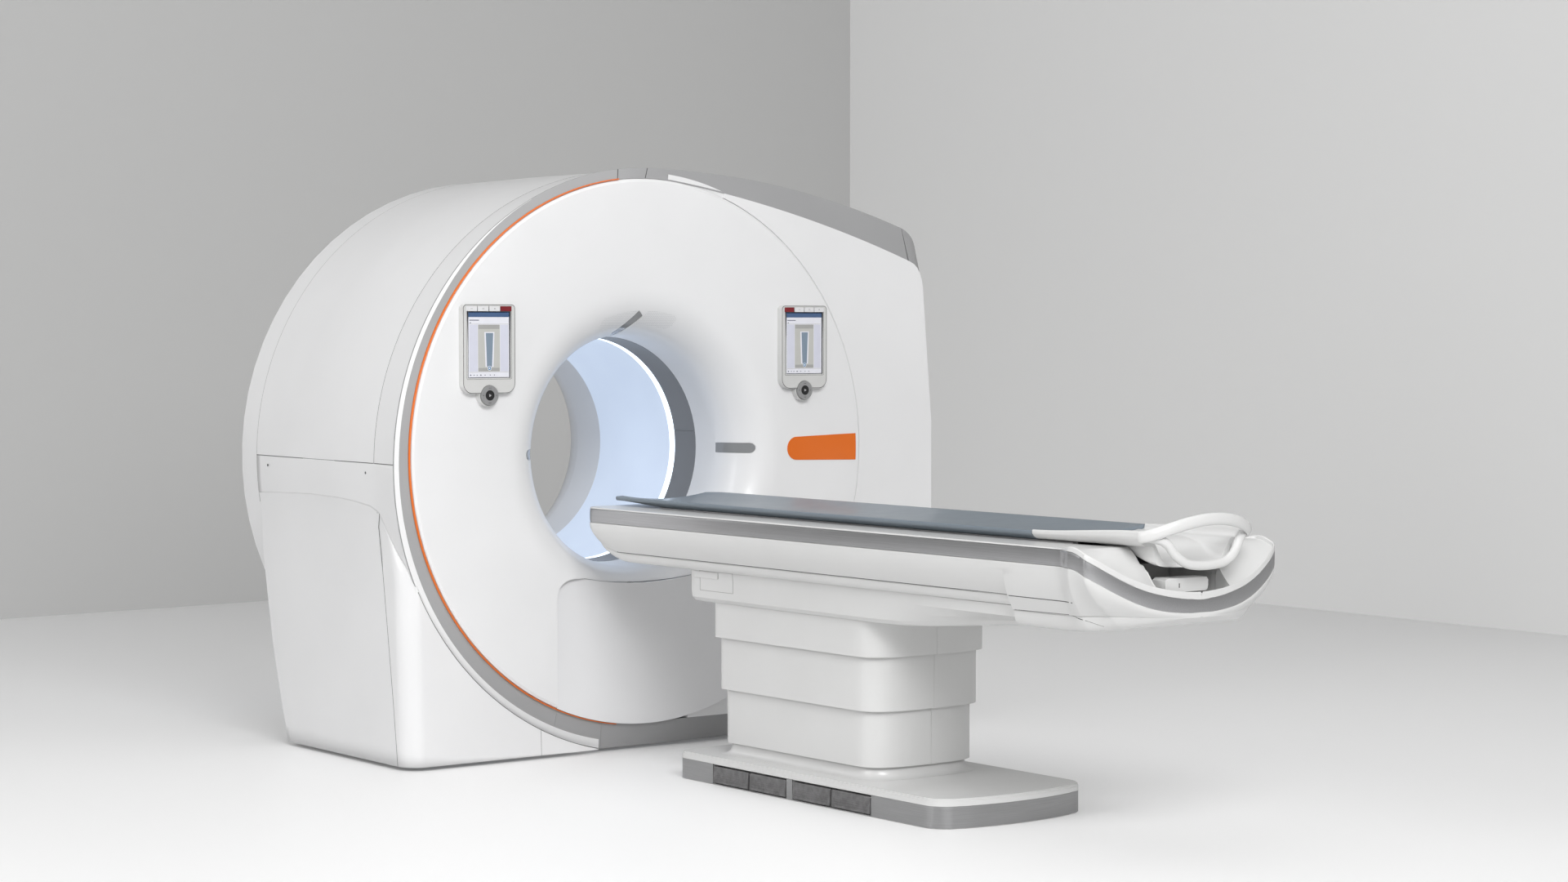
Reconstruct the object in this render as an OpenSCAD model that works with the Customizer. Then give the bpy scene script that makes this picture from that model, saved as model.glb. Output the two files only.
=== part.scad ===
// A CT scanner: a floor-standing gantry with a round bore, and a patient table in front of it.
// +X is to the right of someone facing the bore, +Y runs along the bore from front to back and
// +Z is up. The origin is on the floor, straight below the isocentre.

/* [Gantry] */
// Height of the bore axis above the floor
iso_h = 1020; // [1000:1:1050]
// Diameter of the clear bore
bore_d = 780; // [740:1:790]
// Radius of the round front cover
disc_r = 930; // [915:1:945]
// Depth from the front cover to the rear cover
gantry_d = 1150; // [1120:1:1220]
// Depth from the front cover to the scan plane
scan_depth = 415; // [413:1:417]
// Distance from the bore axis to the right side cover
right_w = 1285; // [1270:1:1320]
// Thickness of the moulded covers
cover_t = 6; // [4:0.5:8]
// Gap between neighbouring covers
seam = 0.8; // [0.5:0.1:0.9]
// Height of the covers' lower edge above the floor
toe_gap = 12; // [8:1:16]

/* [Front bevel band] */
// How far the band's outer edge stands outside the disc at the left
band_wide = 68; // [60:1:74]
// How far the outer edge's centre lies right of and below the bore axis
band_shift = 30; // [26:1:34]
// Depth of the band from its inner to its outer edge
band_deep = 30; // [24:1:36]
// Thickness of the band
band_t = 6; // [4:0.5:8]

/* [Control panels] */
// Width of one control panel
panel_w = 200; // [190:1:206]
// Height of one control panel
panel_h = 292; // [286:1:300]
// Thickness of one control panel
panel_t = 26; // [24:1:32]
// Distance from the bore axis to the middle of each panel
panel_x = 651; // [640:1:656]
// Height of the panels' top edge above the bore axis
panel_rise = 500; // [490:1:506]
// Diameter of the joystick ring
stick_d = 68; // [60:1:72]
// Travel of the keys
key_travel = 1.5; // [1:0.25:2]

/* [Rotor] */
// Gap between the rotating drum and the disc's rim
rotor_gap = 40; // [36:1:60]
// Thickness of the drum's plate
rotor_t = 30; // [24:1:34]
// Gap that runs between turning and fixed rings
run_gap = 0.3; // [0.3:0.05:0.5]

/* [Table base] */
// Half the width of the base
base_hw = 290; // [280:1:300]
// Height of the base
base_h = 88; // [84:1:94]
// Length of one pedal
pedal_l = 182; // [170:1:184]
// Space between two pedals of a pair
pedal_gap = 10; // [8:1:12]
// Width of the divider between the two pairs
pedal_rib = 38; // [36:1:44]

/* [Table column] */
// Half the width of the fixed skirt
skirt_hw = 196; // [190:1:200]
// How much larger each sleeve is than the one inside it
sleeve_step = 14; // [12:1:15]
// Wall of the sleeves
sleeve_t = 5; // [4:0.5:6]
// Travel of the lift
lift_travel = 350; // [340:1:352]

/* [Table top] */
// Height of the cradle's rim above the floor
rim_h = 850; // [846:1:856]
// Half the width of the cradle
cradle_hw = 335; // [330:1:345]
// Distance from the front cover to the cradle's head end
head_gap = 100; // [95:1:110]
// Distance from the front cover to the cradle's foot end
foot_end = 2637; // [2633:1:2645]
// Height of the steel rail band
rail_h = 50; // [46:1:54]
// Half the width of the tabletop
top_hw = 222; // [216:1:226]
// Thickness of the tabletop at its edge
top_t = 15; // [13:1:17]

/* [Hidden] */
$fn = 180;

bore_r = bore_d / 2;
drum_r = disc_r + band_wide;
rotor_r = disc_r - rotor_gap;
drum_c = [band_shift, iso_h - band_shift];
iso_c = [0, iso_h];
// White covers stand this much inside the band's outer edge
step_in = 9;
skin_r = drum_r - step_in;
// Depths along the bore, measured from the front cover
band_y = 18;
strip_y = band_y + band_deep;
seam2_y = 193;
seam1_y = gantry_d - 130;
funnel_y = 190;
ring_y0 = 270;
ring_y1 = 398;
light_y1 = 430;
glow_y1 = 878;
// Height of the level split between the upper and lower side covers
split_h = iso_h - 20;
// Radii where the front funnel starts and where it meets the bore
funnel_r = 560;
throat_r = bore_r + 5;
white = [0.93, 0.93, 0.935];
silver = [0.62, 0.63, 0.64];
steel = [0.72, 0.73, 0.74];
dark = [0.25, 0.26, 0.28];
orange = [0.9, 0.38, 0.08];
bluegrey = [0.5, 0.55, 0.6];

// Plane points and curves
function pol(r, a) = [r * cos(a), r * sin(a)];
function arc(c, r, a0, a1, n) = [for (i = [0:n]) c + pol(r, a0 + (a1 - a0) * i / n)];
function bez(p, q, s, n) = [for (i = [0:n]) let (t = i / n)
    (1 - t) * (1 - t) * p + 2 * t * (1 - t) * q + t * t * s];
function rev(v) = [for (i = [len(v) - 1:-1:0]) v[i]];
function ease(t) = let (u = min(1, max(0, t))) u * u * (3 - 2 * u);
function mix(a, b, t) = a + (b - a) * t;

// Lays a drawing of the X-Z plane out between two depths behind the front cover
module along_y(a, b) {
    translate([0, b - scan_depth, 0])
        rotate([90, 0, 0])
            linear_extrude(b - a)
                children();
}

// Turns a (radius, depth) profile about an axis along Y, between two angles seen from the front
module turn_y(c, a0, a1) {
    translate([c[0], -scan_depth, c[1]])
        rotate([-90, 0, 0])
            rotate([0, 0, -a1])
                rotate_extrude(angle = a1 - a0)
                    children();
}

// A rod along Y
module rod_y(x, z, r, a, b) {
    translate([x, b - scan_depth, z])
        rotate([90, 0, 0])
            cylinder(r = r, h = b - a);
}

// A box given by its ranges in the frame of the front cover
module block(x0, x1, y0, y1, z0, z1) {
    translate([x0, y0 - scan_depth, z0])
        cube([x1 - x0, y1 - y0, z1 - z0]);
}

// A closed skin through rings of equally many points, capped at both ends
module loft(rings) {
    n = len(rings[0]);
    m = len(rings);
    sides = [for (j = [0:m - 2], i = [0:n - 1]) let (a = j * n + i, b = j * n + (i + 1) % n)
        each [[a, b, a + n], [b, b + n, a + n]]];
    caps = [[for (i = [n - 1:-1:0]) i], [for (i = [0:n - 1]) (m - 1) * n + i]];
    translate([0, -scan_depth, 0])
        polyhedron([for (r = rings) each r], concat(sides, caps));
}

// Outline of the gantry behind the band, inset by d, as points in X and Z
sweep_r = 3700;
top_z = drum_c[1] + drum_r;
side_x = right_w - 45;
knee_z = iso_h + 80;
function sweep_z(x, d) = top_z - sweep_r + sqrt(pow(sweep_r - d, 2) - pow(x - drum_c[0], 2));
side_z = sweep_z(side_x, 0) - 2;
function side_at(z, d) = z > knee_z
    ? mix(right_w, side_x, (z - knee_z) / (side_z - knee_z)) - d
    : right_w - d;
function top_edge(d, x0, x1, n) = [for (i = [0:n]) let (x = mix(x0, x1, i / n)) [x, sweep_z(x, d)]];
function corner_edge(d) = let (p = [side_x - 60, sweep_z(side_x - 60, d)],
    s = [side_at(side_z - 60, d), side_z - 60]) bez(p, [side_x - d, sweep_z(side_x, d) - 4], s, 6);
function right_edge(d, x0) = concat(top_edge(d, x0, side_x - 75, 14), corner_edge(d),
    [[right_w - d, knee_z], [right_w - d, toe_gap]]);

// Front outline inside the band: leaves the disc near the top and sweeps down to the right
inner_r = 5500;
leave_a = 81.5;
inner_c = iso_c - pol(inner_r - disc_r, leave_a);
function inner_z(x) = inner_c[1] + sqrt(pow(inner_r, 2) - pow(x - inner_c[0], 2));
inner_x = side_x - 35;
inner_toe = iso_h - disc_r + 5;
function inner_corner() = bez([inner_x - 40, inner_z(inner_x - 40)],
    [inner_x + 14, inner_z(inner_x) - 4], [inner_x + 22, inner_z(inner_x) - 80], 5);
right_in = right_w - 15;

// Front cover: disc, funnel and throat in one turned moulding
function front_profile() = let (t = cover_t, a = funnel_r - throat_r, n = 10) concat(
    [[disc_r, band_y], [disc_r - 3, 8], [disc_r - 12, 1.5], [disc_r - 26, 0]],
    [for (i = [0:n]) let (u = 90 * i / n) [funnel_r - a * sin(u), funnel_y * (1 - cos(u))]],
    [[bore_r + 1, ring_y0], [bore_r + 1 + t, ring_y0]],
    [for (i = [n:-1:0]) let (u = 90 * i / n)
        [funnel_r + 3 - (a - t + 3) * sin(u), t + (funnel_y - t) * (1 - cos(u))]],
    [[disc_r - 26, t], [disc_r - t, band_y]]);

// Outline of the recess in the lower front, inset by d
recess_hw = 372;
recess_top = iso_h - 447;
recess_toe = iso_h - disc_r + 30;
recess_deep = 24;
recess_base = iso_h - 1.2 * disc_r;
function recess_pts(d) = concat(
    [[-recess_hw + d, recess_base]],
    bez([-recess_hw + d, recess_top - 40], [-recess_hw + d, recess_top + 28 - d],
        [-recess_hw + 80, recess_top + 27 - d], 6),
    [for (i = [-4:4]) [i * 62, recess_top + 25 * pow(i / 4, 2) - d]],
    bez([recess_hw - 80, recess_top + 27 - d], [recess_hw - d, recess_top + 28 - d],
        [recess_hw - d, recess_top - 40], 6),
    [[recess_hw - d, recess_base]]);

module front_cover() color(white) {
    difference() {
        turn_y(iso_c, 0, 360) polygon(front_profile());
        along_y(-5, 60) polygon(recess_pts(0));
        // Slanted laser slot over the bore
        translate([-40, 60 - scan_depth, iso_h + bore_r + 45])
            rotate([0, 38, 0])
                cube([30, 160, 96], center = true);
        // Oval laser window at the right and the one at the left
        for (s = [-1, 1])
            along_y(-5, 160)
                translate([s * window_x, iso_h])
                    oval(window_l, window_w);
    }
}
window_x = bore_r + 40;
window_l = 92;
window_w = 36;
module oval(l, w) {
    square([l - w, w], center = true);
    for (s = [-1, 1])
        translate([s * (l - w) / 2, 0])
            circle(d = w);
}

// Glossy panel set back in the lower front, with the ledge over it
module lower_front_panel() color(white) {
    difference() {
        intersection() {
            union() {
                along_y(2, cover_t + 36) polygon(recess_pts(1.2));
                // Flange behind the flat of the disc
                intersection() {
                    along_y(cover_t + 0.3, cover_t + 36) polygon(recess_pts(-8));
                    turn_y(iso_c, 0, 360)
                        polygon([[funnel_r + 4, 0], [disc_r - 28, 0], [disc_r - 28, 100],
                            [funnel_r + 4, 100]]);
                }
            }
            rod_y(iso_c[0], iso_c[1], disc_r - 1, 0, 100);
        }
        intersection() {
            along_y(-5, cover_t + 30) polygon(recess_pts(1.2));
            translate([0, -scan_depth, 0])
                rotate([90, 0, 90])
                    linear_extrude(2 * recess_hw + 20, center = true)
                        polygon([[-20, -10], [2, -10], [3, recess_toe], [recess_deep, recess_top - 60],
                            [recess_deep + 3, recess_top + 60], [-20, recess_top + 60]]);
        }
    }
}

// White moulding beyond the disc
module right_front_panel() color(white) {
    x_leave = 330;
    // Return round the right side
    along_y(band_y + 20, strip_y + band_t + 32 - seam)
        polygon(concat([for (t = [0, cover_t]) each let (e = [[inner_x + 22 - t, inner_z(inner_x) - 80],
            [right_in - 2 - t, knee_z], [right_in - t, inner_toe]]) t > 0 ? rev(e) : e]));
    difference() {
        along_y(band_y - cover_t, band_y + 26)
            polygon(concat([for (i = [0:12]) let (x = mix(x_leave, inner_x - 50, i / 12)) [x, inner_z(x)]],
                inner_corner(),
                [[right_in - 2, knee_z], [right_in, inner_toe], [170, inner_toe], [170, iso_h]]));
        translate([0, 400 - scan_depth, iso_h])
            rotate([90, 0, 0])
                cylinder(r = disc_r + seam, h = 500);
        // Hollow behind the face
        along_y(band_y, band_y + 60)
            polygon(concat([for (i = [1:12]) let (x = mix(x_leave, inner_x - 50, i / 12))
                [x, inner_z(x) - cover_t]],
                [[inner_x - 8, inner_z(inner_x) - 90], [right_in - 2 - cover_t, knee_z],
                    [right_in - cover_t, inner_toe + cover_t], [250, inner_toe + cover_t],
                    [250, iso_h]]));
    }
}

// One stretch of the bevel band through pairs of inner and outer points
function band_ring(p, q, y0, y1) = let (t = band_t) [[p[0], y0, p[1]], [q[0], y1, q[1]],
    [q[0], y1 + t, q[1]], [p[0], y0 + t, p[1]]];
function band_in(a) = iso_c + pol(disc_r + seam, a);
function band_out(a) = let (p = drum_c + pol(drum_r, a)) [p[0], max(toe_gap, p[1])];
joint_a = 0.02;
low_joint = 247;
module band_arc(a0, a1, n) {
    loft([for (i = [0:n]) let (a = mix(a0, a1, i / n))
        rev(band_ring(band_in(a), band_out(a), band_y, strip_y))]);
}
module trim_band() color(silver) {
    band_arc(96.5 + joint_a, low_joint, 60);
    band_arc(low_joint + 2 * joint_a, 258.5, 8);
    // Short piece at the very top
    band_arc(90, 96.5, 4);
    // Long piece that sweeps down to the upper right corner
    n = 22;
    loft([for (i = [0:n]) let (t = i / n, x = mix(0.6, inner_x - 45, t),
        p = x < disc_r * cos(leave_a) ? [x, iso_h + sqrt(pow(disc_r + seam, 2) - x * x)]
            : [x, inner_z(x) + seam],
        xo = mix(band_shift + 0.6, side_x - 62, t))
        band_ring(p, [xo, sweep_z(xo, 0)], band_y, mix(strip_y, strip_y + 30, t))]);
    // Corner piece
    ci = inner_corner();
    co = corner_edge(0);
    loft([for (i = [0:5]) band_ring(ci[i] + [seam, seam], co[i], band_y, strip_y + 30)]);
    // Foot piece along the floor
    foot_in = band_in(258.5 + 2 * joint_a)[0];
    foot_out = band_out(258.5 + 2 * joint_a)[0];
    loft([for (i = [0:20]) let (t = pow(i / 20, 1.3), x = mix(foot_in, right_w - 30, t),
        z = x < 110 ? iso_h - sqrt(pow(disc_r + seam, 2) - x * x) : inner_toe - seam)
        rev(band_ring([x, z], [mix(foot_out, right_w - 30, t), toe_gap], band_y, strip_y))]);
}

module accent_ring() color(orange)
    turn_y(iso_c, 97, 262)
        polygon([[disc_r + 0.5, band_y - 12], [disc_r + seam + 3, band_y - 9],
            [disc_r + seam + 3, band_y - 2], [disc_r + 0.5, band_y - 2]]);

// Ring of white strip behind the band, down to the split line
module ring_strip() color(white)
    intersection() {
        turn_y(drum_c, 90, 185) polygon(skin_band([strip_y + band_t + 0.3, seam2_y]));
        block(-1500, drum_c[0] - seam, 0, 400, split_h + seam, 2500);
    }

// Radius of the drum's skin along its depth
mid_y = (seam2_y + seam1_y) / 2;
function skin_at(y) = y < seam2_y ? mix(drum_r - 1, skin_r, (y - strip_y) / (seam2_y - strip_y))
    : y < mid_y ? mix(skin_r, skin_r + 1, (y - seam2_y) / (mid_y - seam2_y))
    : mix(skin_r + 1, skin_r - 4, (y - mid_y) / (seam1_y - mid_y));
function skin_band(ys) = concat([for (y = ys) [skin_at(y), y]], [for (y = rev(ys)) [skin_at(y) - cover_t, y]]);
// Drum skin from the split line over the top
module upper_left_cover() color(white)
    intersection() {
        turn_y(drum_c, 90, 185) polygon(skin_band([seam2_y + seam, mid_y, seam1_y - seam]));
        block(-1500, drum_c[0] - seam, 0, seam1_y, split_h + seam, 2500);
    }

// Leg under the drum: a rounded block that leans in towards the floor, grown inwards by d
leg_x0 = drum_c[0] - drum_r + 38;
leg_top = split_h - 118;
function leg_ring(x0, y0, y1, z, r, d) = concat(
    [for (i = [0:6]) let (a = 180 + 90 * i / 6)
        [x0 + d + r + (r - d / 2) * cos(a) - d / 2, y0 + d + r + (r - d / 2) * sin(a) - d / 2, z]],
    [[-420 + d, y0 + d, z], [-420 + d, y1 - d, z]],
    [for (i = [0:3]) let (a = 90 + 90 * i / 3) [x0 + d + 30 + 30 * cos(a), y1 - d - 30 + 30 * sin(a), z]]);
module leg_block(d) {
    loft([for (i = [0:8]) let (t = i / 8, z = mix(toe_gap - (d > 0 ? 20 : 0), leg_top + d, pow(t, 0.8)))
        rev(leg_ring(mix(leg_x0, leg_x0 - 6, t), mix(26, 172, pow(t, 1.5)),
            mix(845, seam1_y - 6, pow(t, 0.6)), z, mix(80, 60, t), d))]);
}
// Half space in front of the leg's slanted seam, moved back by g
module before_seam(g) {
    translate([0, -scan_depth + g, 0])
        rotate([90, 0, 90])
            linear_extrude(3000, center = true)
                polygon([[-100, -10], [64, -10], [seam2_y, split_h], [seam2_y, split_h + 600],
                    [-100, split_h + 600]]);
}
// Drum skin below the split line, down to where the leg takes over
module low_skin(ys, z0, a) {
    intersection() {
        turn_y(drum_c, 170, a) polygon(skin_band(ys));
        block(-1500, 200, 0, gantry_d, z0, split_h);
    }
}
module leg_shell() {
    difference() {
        leg_block(0);
        leg_block(cover_t);
        // Room for the rotor
        rod_y(iso_c[0], iso_c[1], rotor_r + 22, 0, gantry_d);
    }
}
module lower_left_cover() color(white) {
    difference() {
        union() {
            low_skin([100, seam2_y, mid_y, seam1_y - seam], leg_top - 10, 200);
            leg_shell();
            // Underside of the drum where it stands out over the leg
            intersection() {
                turn_y(drum_c, 170, 200) square([skin_r - 4.5, seam1_y - seam]);
                block(-1500, leg_x0 + 2, 100, seam1_y, leg_top - 10, leg_top - 4);
            }
        }
        before_seam(seam);
        block(-500, 0, 0, gantry_d, 0, leg_top + 20);
    }
}
module leg_front_cover() color(white) {
    intersection() {
        low_skin([strip_y + band_t + 0.3, seam2_y + 4], leg_top - 115, 197);
        before_seam(0);
    }
    difference() {
        intersection() {
            union() {
                leg_shell();
                // Front face of the foot below the band
                block(-424, -60, 26, 26 + cover_t, toe_gap, 160);
            }
            before_seam(0);
        }
        rod_y(drum_c[0], drum_c[1], drum_r + seam, 0, strip_y + band_t + 0.3);
        // Upright seam in the foot
        block(-400, -400 + seam, 0, 400, 0, 300);
    }
}

// Right side and top in one long shell
module right_cover() color(white) {
    difference() {
        along_y(strip_y + band_t + 32, seam1_y - seam)
            polygon(concat(right_edge(step_in, drum_c[0] + seam),
                rev(right_edge(step_in + cover_t, drum_c[0] + seam))));
        block(-1500, drum_c[0] + seam, 0, gantry_d, 0, 3000);
    }
}

// Outline of the rear cover, inset by d and standing at height z0
function rear_outline(d, z0) = concat(
    [for (p = right_edge(step_in + d, drum_c[0])) [p[0], p[1] == toe_gap ? z0 : p[1]]],
    [[-760 + d, z0]],
    [for (i = [0:24]) drum_c + pol(skin_r - 4 - d, mix(220, 92, i / 24))]);
// Rounded rear edge in fine steps
edge_steps = [[26, 0], [17, 1.5], [11, 4], [6.5, 7.5], [3, 12], [0, 18]];
module rear_cover() color(white) {
    difference() {
        for (i = [0:5])
            along_y(seam1_y + 2 * i, gantry_d - edge_steps[i][0])
                polygon(rear_outline(edge_steps[i][1], toe_gap + edge_steps[i][1] / 5));
        // Room inside
        along_y(seam1_y - 5, gantry_d - edge_steps[0][0] - 1)
            polygon(rear_outline(cover_t, toe_gap - 5));
        along_y(seam1_y - 10, gantry_d - cover_t - 1)
            polygon(rear_outline(cover_t + 15, toe_gap - 5));
        translate([0, gantry_d + 50 - scan_depth, iso_h])
            rotate([90, 0, 0])
                cylinder(r = bore_r + 60, h = 100);
    }
    // Rear funnel, with a flange inside the cover
    turn_y(iso_c, 0, 360)
        polygon(concat(
            [for (i = [0:8]) let (u = 90 * i / 8)
                [throat_r + 70 * (1 - cos(u)), gantry_d - 120 + 121 * sin(u)]],
            [[throat_r + 74, gantry_d + 1], [throat_r + 74, gantry_d - cover_t - 3]],
            [for (i = [7:-1:0]) let (u = 90 * i / 8)
                [throat_r + cover_t + 60 * (1 - cos(u)), gantry_d - 120 + (120 - cover_t) * sin(u)]],
            [[throat_r + cover_t, glow_y1 + 0.3], [bore_r, glow_y1 + 0.3], [bore_r, gantry_d - 120]]));
}

// Bore lining
module tunnel_liner() color([0.72, 0.84, 0.98])
    turn_y(iso_c, 0, 360)
        polygon([[bore_r, light_y1], [bore_r + 5, light_y1], [bore_r + 5, glow_y1],
            [bore_r, glow_y1]]);
module bore_ring() color(dark) {
    for (s = [0, 1])
        turn_y(iso_c, s == 0 ? 8.1 : 171.9, s == 0 ? 171.8 : 368)
            polygon([[bore_r, ring_y0 + 0.3], [bore_r + 7, ring_y0 + 0.3], [bore_r + 7, ring_y1],
                [bore_r, ring_y1]]);
}
module light_ring() color([0.95, 0.97, 1])
    turn_y(iso_c, 0, 360)
        polygon([[bore_r, ring_y1 + 0.3], [bore_r + 6, ring_y1 + 0.3],
            [bore_r + 6, light_y1 - 0.3], [bore_r, light_y1 - 0.3]]);

// Oval windows, and the slanted one over the bore
module laser_windows() color(dark) {
    for (s = [-1, 1])
        intersection() {
            turn_y(iso_c, 0, 360) polygon(face_skin(2, 7));
            along_y(-5, 160)
                translate([s * window_x, iso_h])
                    oval(window_l - 1, window_w - 1);
        }
    intersection() {
        turn_y(iso_c, 0, 360) polygon(face_skin(2, 7));
        translate([-40, 60 - scan_depth, iso_h + bore_r + 45])
            rotate([0, 38, 0])
                cube([29, 160, 95], center = true);
    }
}
// A skin that follows the funnel's face, from y0 to y1 behind it
function face_pt(u, d) = [funnel_r - (funnel_r - throat_r) * sin(u), funnel_y * (1 - cos(u)) + d];
function face_skin(y0, y1) = concat([for (i = [0:12]) face_pt(7.5 * i, y0)],
    [for (i = [12:-1:0]) face_pt(7.5 * i, y1)]);

// Perforated arc over the bore
module speaker_grille() color([0.85, 0.86, 0.87]) {
    difference() {
        intersection() {
            turn_y(iso_c, 72, 112) polygon(face_skin(-1.8, -0.3));
            turn_y(iso_c, 72, 112)
                polygon([[bore_r + 42, -5], [bore_r + 92, -5], [bore_r + 92, 100], [bore_r + 42, 100]]);
        }
        along_y(-20, 120)
            for (row = [0:2], k = [0:13]) {
                a = 76 + 2.5 * k + 1.2 * (row % 2);
                if (abs(a - 95) > 5)
                    translate(iso_c + pol(bore_r + 50 + 11 * row, a))
                        circle(d = 5, $fn = 8);
            }
        translate([-40, 60 - scan_depth, iso_h + bore_r + 45])
            rotate([0, 38, 0])
                cube([34, 160, 110], center = true);
    }
}

module side_tab() color(orange)
    along_y(-2, 0)
        polygon(concat(arc([635, iso_h - 4], 41, 90, 270, 16),
            [for (i = [-4:4]) let (z = i * 12, x = sqrt(pow(disc_r - 27, 2) - z * z))
                [x, iso_h - 4 + z + (i == -4 ? 1 : 0)]]));

// Stand: carrier ring on two pillars with a base frame
carrier_y0 = 800;
carrier_y1 = 840;
carrier_r0 = 640;
carrier_r1 = disc_r - 15;
stand_x = disc_r - 70;
beam_w = 100;
beam_z0 = 40;
beam_z1 = 110;
anchor_x = 695;
anchor_y = [200, 720];
anchor_r = 9;
module gantry_frame() color(steel) {
    difference() {
        union() {
            turn_y(iso_c, 0, 360)
                polygon([[carrier_r0, carrier_y0], [carrier_r1, carrier_y0], [carrier_r1, carrier_y1],
                    [carrier_r0, carrier_y1]]);
            for (s = [-1, 1])
                block(s > 0 ? carrier_r0 : -stand_x, s > 0 ? stand_x : -carrier_r0, carrier_y0, carrier_y1,
                    beam_z0, iso_h - 300);
        }
        rod_y(iso_c[0], iso_c[1], carrier_r0, 0, gantry_d);
    }
    // Base beams and cross members
    for (x = [-stand_x, stand_x - beam_w])
        block(x, x + beam_w, 120, carrier_y0, beam_z0, beam_z1);
    block(-stand_x + beam_w, stand_x - beam_w, 150, 230, beam_z0, beam_z1);
    block(-stand_x, stand_x, carrier_y0, carrier_y1, beam_z0, beam_z1);
    // Anchor brackets with their holes
    for (s = [-1, 1], y = anchor_y)
        difference() {
            union() {
                block(s > 0 ? 640 : -775, s > 0 ? 775 : -640, y - 45, y + 45, 0, 14);
                block(s > 0 ? 762 : -775, s > 0 ? 775 : -762, y - 45, y + 45, 0, 60);
            }
            translate([s * anchor_x, y - scan_depth, -1])
                cylinder(r = anchor_r, h = 60);
        }
    // Plate under the isocentre
    block(-120, 120, scan_depth - 185, scan_depth + 100, 0, 70);
}
module levelling_feet() color(dark)
    for (x = [-stand_x + beam_w / 2, stand_x - beam_w / 2], y = [165, 755])
        translate([x, y - scan_depth, 0]) {
            cylinder(r = 32, h = 12);
            translate([0, 0, 12]) cylinder(r = 22, h = 28);
        }

// Bearing's fixed race, bolted to the carrier ring
race_r = 660;
plate_y = 700;
module main_bearing() color(steel)
    turn_y(iso_c, 0, 360)
        polygon([[race_r, 755], [race_r + 60, 755], [race_r + 60, carrier_y0], [race_r, carrier_y0]]);

// Rotor: plate, rim, hub sleeve and the bearing's turning race
module rotor_drum() color(steel)
    turn_y(iso_c, 0, 360)
        polygon([[430, plate_y - 190], [444, plate_y - 190], [444, plate_y],
            [rotor_r - 14, plate_y], [rotor_r - 14, 330], [rotor_r, 330],
            [rotor_r, plate_y + rotor_t], [race_r - run_gap, plate_y + rotor_t],
            [race_r - run_gap, 790], [610, 790], [610, plate_y + rotor_t], [430, plate_y + rotor_t]]);
module slip_ring() color([0.72, 0.55, 0.3])
    turn_y(iso_c, 0, 360)
        polygon([[480, plate_y + rotor_t], [590, plate_y + rotor_t], [590, 790], [575, 790],
            [575, 784], [560, 784], [560, 790], [545, 790], [545, 784], [530, 784], [530, 790],
            [515, 790], [515, 784], [500, 784], [500, 790], [480, 790]]);
module xray_tubes() color([0.6, 0.62, 0.65])
    for (a = [90, 185]) {
        c = iso_c + pol(745, a);
        rod_y(c[0], c[1], 95, 380, plate_y);
        // Collimator box between the tube and the bore
        difference() {
            translate([0, 0, iso_h])
                rotate([0, -a, 0])
                    translate([540, scan_depth - 70 - scan_depth, -80])
                        cube([150, 140, 160]);
            rod_y(c[0], c[1], 95, 300, plate_y);
        }
    }
module detectors() color(dark)
    for (a = [270, 5])
        turn_y(iso_c, a - 26, a + 26)
            polygon([[600, 350], [690, 350], [690, 480], [670, 480], [670, plate_y],
                [655, plate_y], [655, 480], [600, 480]]);
module hv_generators() color([0.4, 0.45, 0.5])
    for (a = [137, 228, 318, 48])
        turn_y(iso_c, a - 11, a + 11)
            polygon([[640, 400], [840, 400], [840, plate_y], [640, plate_y]]);

// Table base: plan outline inset by d
base_head = -570;
base_foot = -1915;
function base_plan(d) = concat(
    arc([base_hw - 50, base_head - 50], 50 - d, 0, 90, 6),
    arc([-base_hw + 50, base_head - 50], 50 - d, 90, 180, 6),
    arc([-base_hw + 80, base_foot + 110], 80 - d, 180, 262, 7),
    [for (i = [-4:4]) [i * 50, base_foot + d + 22 * pow(i / 4, 2)]],
    arc([base_hw - 80, base_foot + 110], 80 - d, 278, 360, 7));
module base_slab(d, z0, z1) {
    translate([0, -scan_depth, z0])
        linear_extrude(z1 - z0)
            polygon(base_plan(d));
}
band_top = base_h - 22;
pedal_y0 = -775;
pair_l = 2 * pedal_l + pedal_gap;
pair_y = [pedal_y0, pedal_y0 - pair_l - pedal_rib];
module pedal_wells(z1) {
    for (y = pair_y)
        block(-base_hw - 20, -base_hw + 46, y - pair_l - 4, y + 4, 4, z1);
}
pin_x = -base_hw + 30;
pin_z = 20;
module table_base() color(white) {
    difference() {
        union() {
            base_slab(4, 0, band_top);
            base_slab(0, band_top, base_h - 8);
            base_slab(2, base_h - 8, base_h - 3);
            base_slab(6, base_h - 3, base_h);
        }
        pedal_wells(band_top - 2);
        for (y = pair_y)
            rod_y(pin_x, pin_z, 4, y - pair_l - 16, y + 16);
        for (x = [-180, 180], y = [-700, -1780])
            translate([x, y - scan_depth, -1])
                cylinder(r = 7, h = 41);
        // Room for the lift's lower stage
        block(-170, 170, -1250, -900, 20, base_h + 10);
    }
}
module base_band() color(silver) {
    difference() {
        base_slab(0, 3, band_top - 0.5);
        base_slab(3.6, 0, band_top + 1);
        pedal_wells(band_top);
    }
}
module pedal_pins() color(steel)
    for (y = pair_y)
        rod_y(pin_x, pin_z, 3.97, y - pair_l - 15, y + 15);
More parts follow.
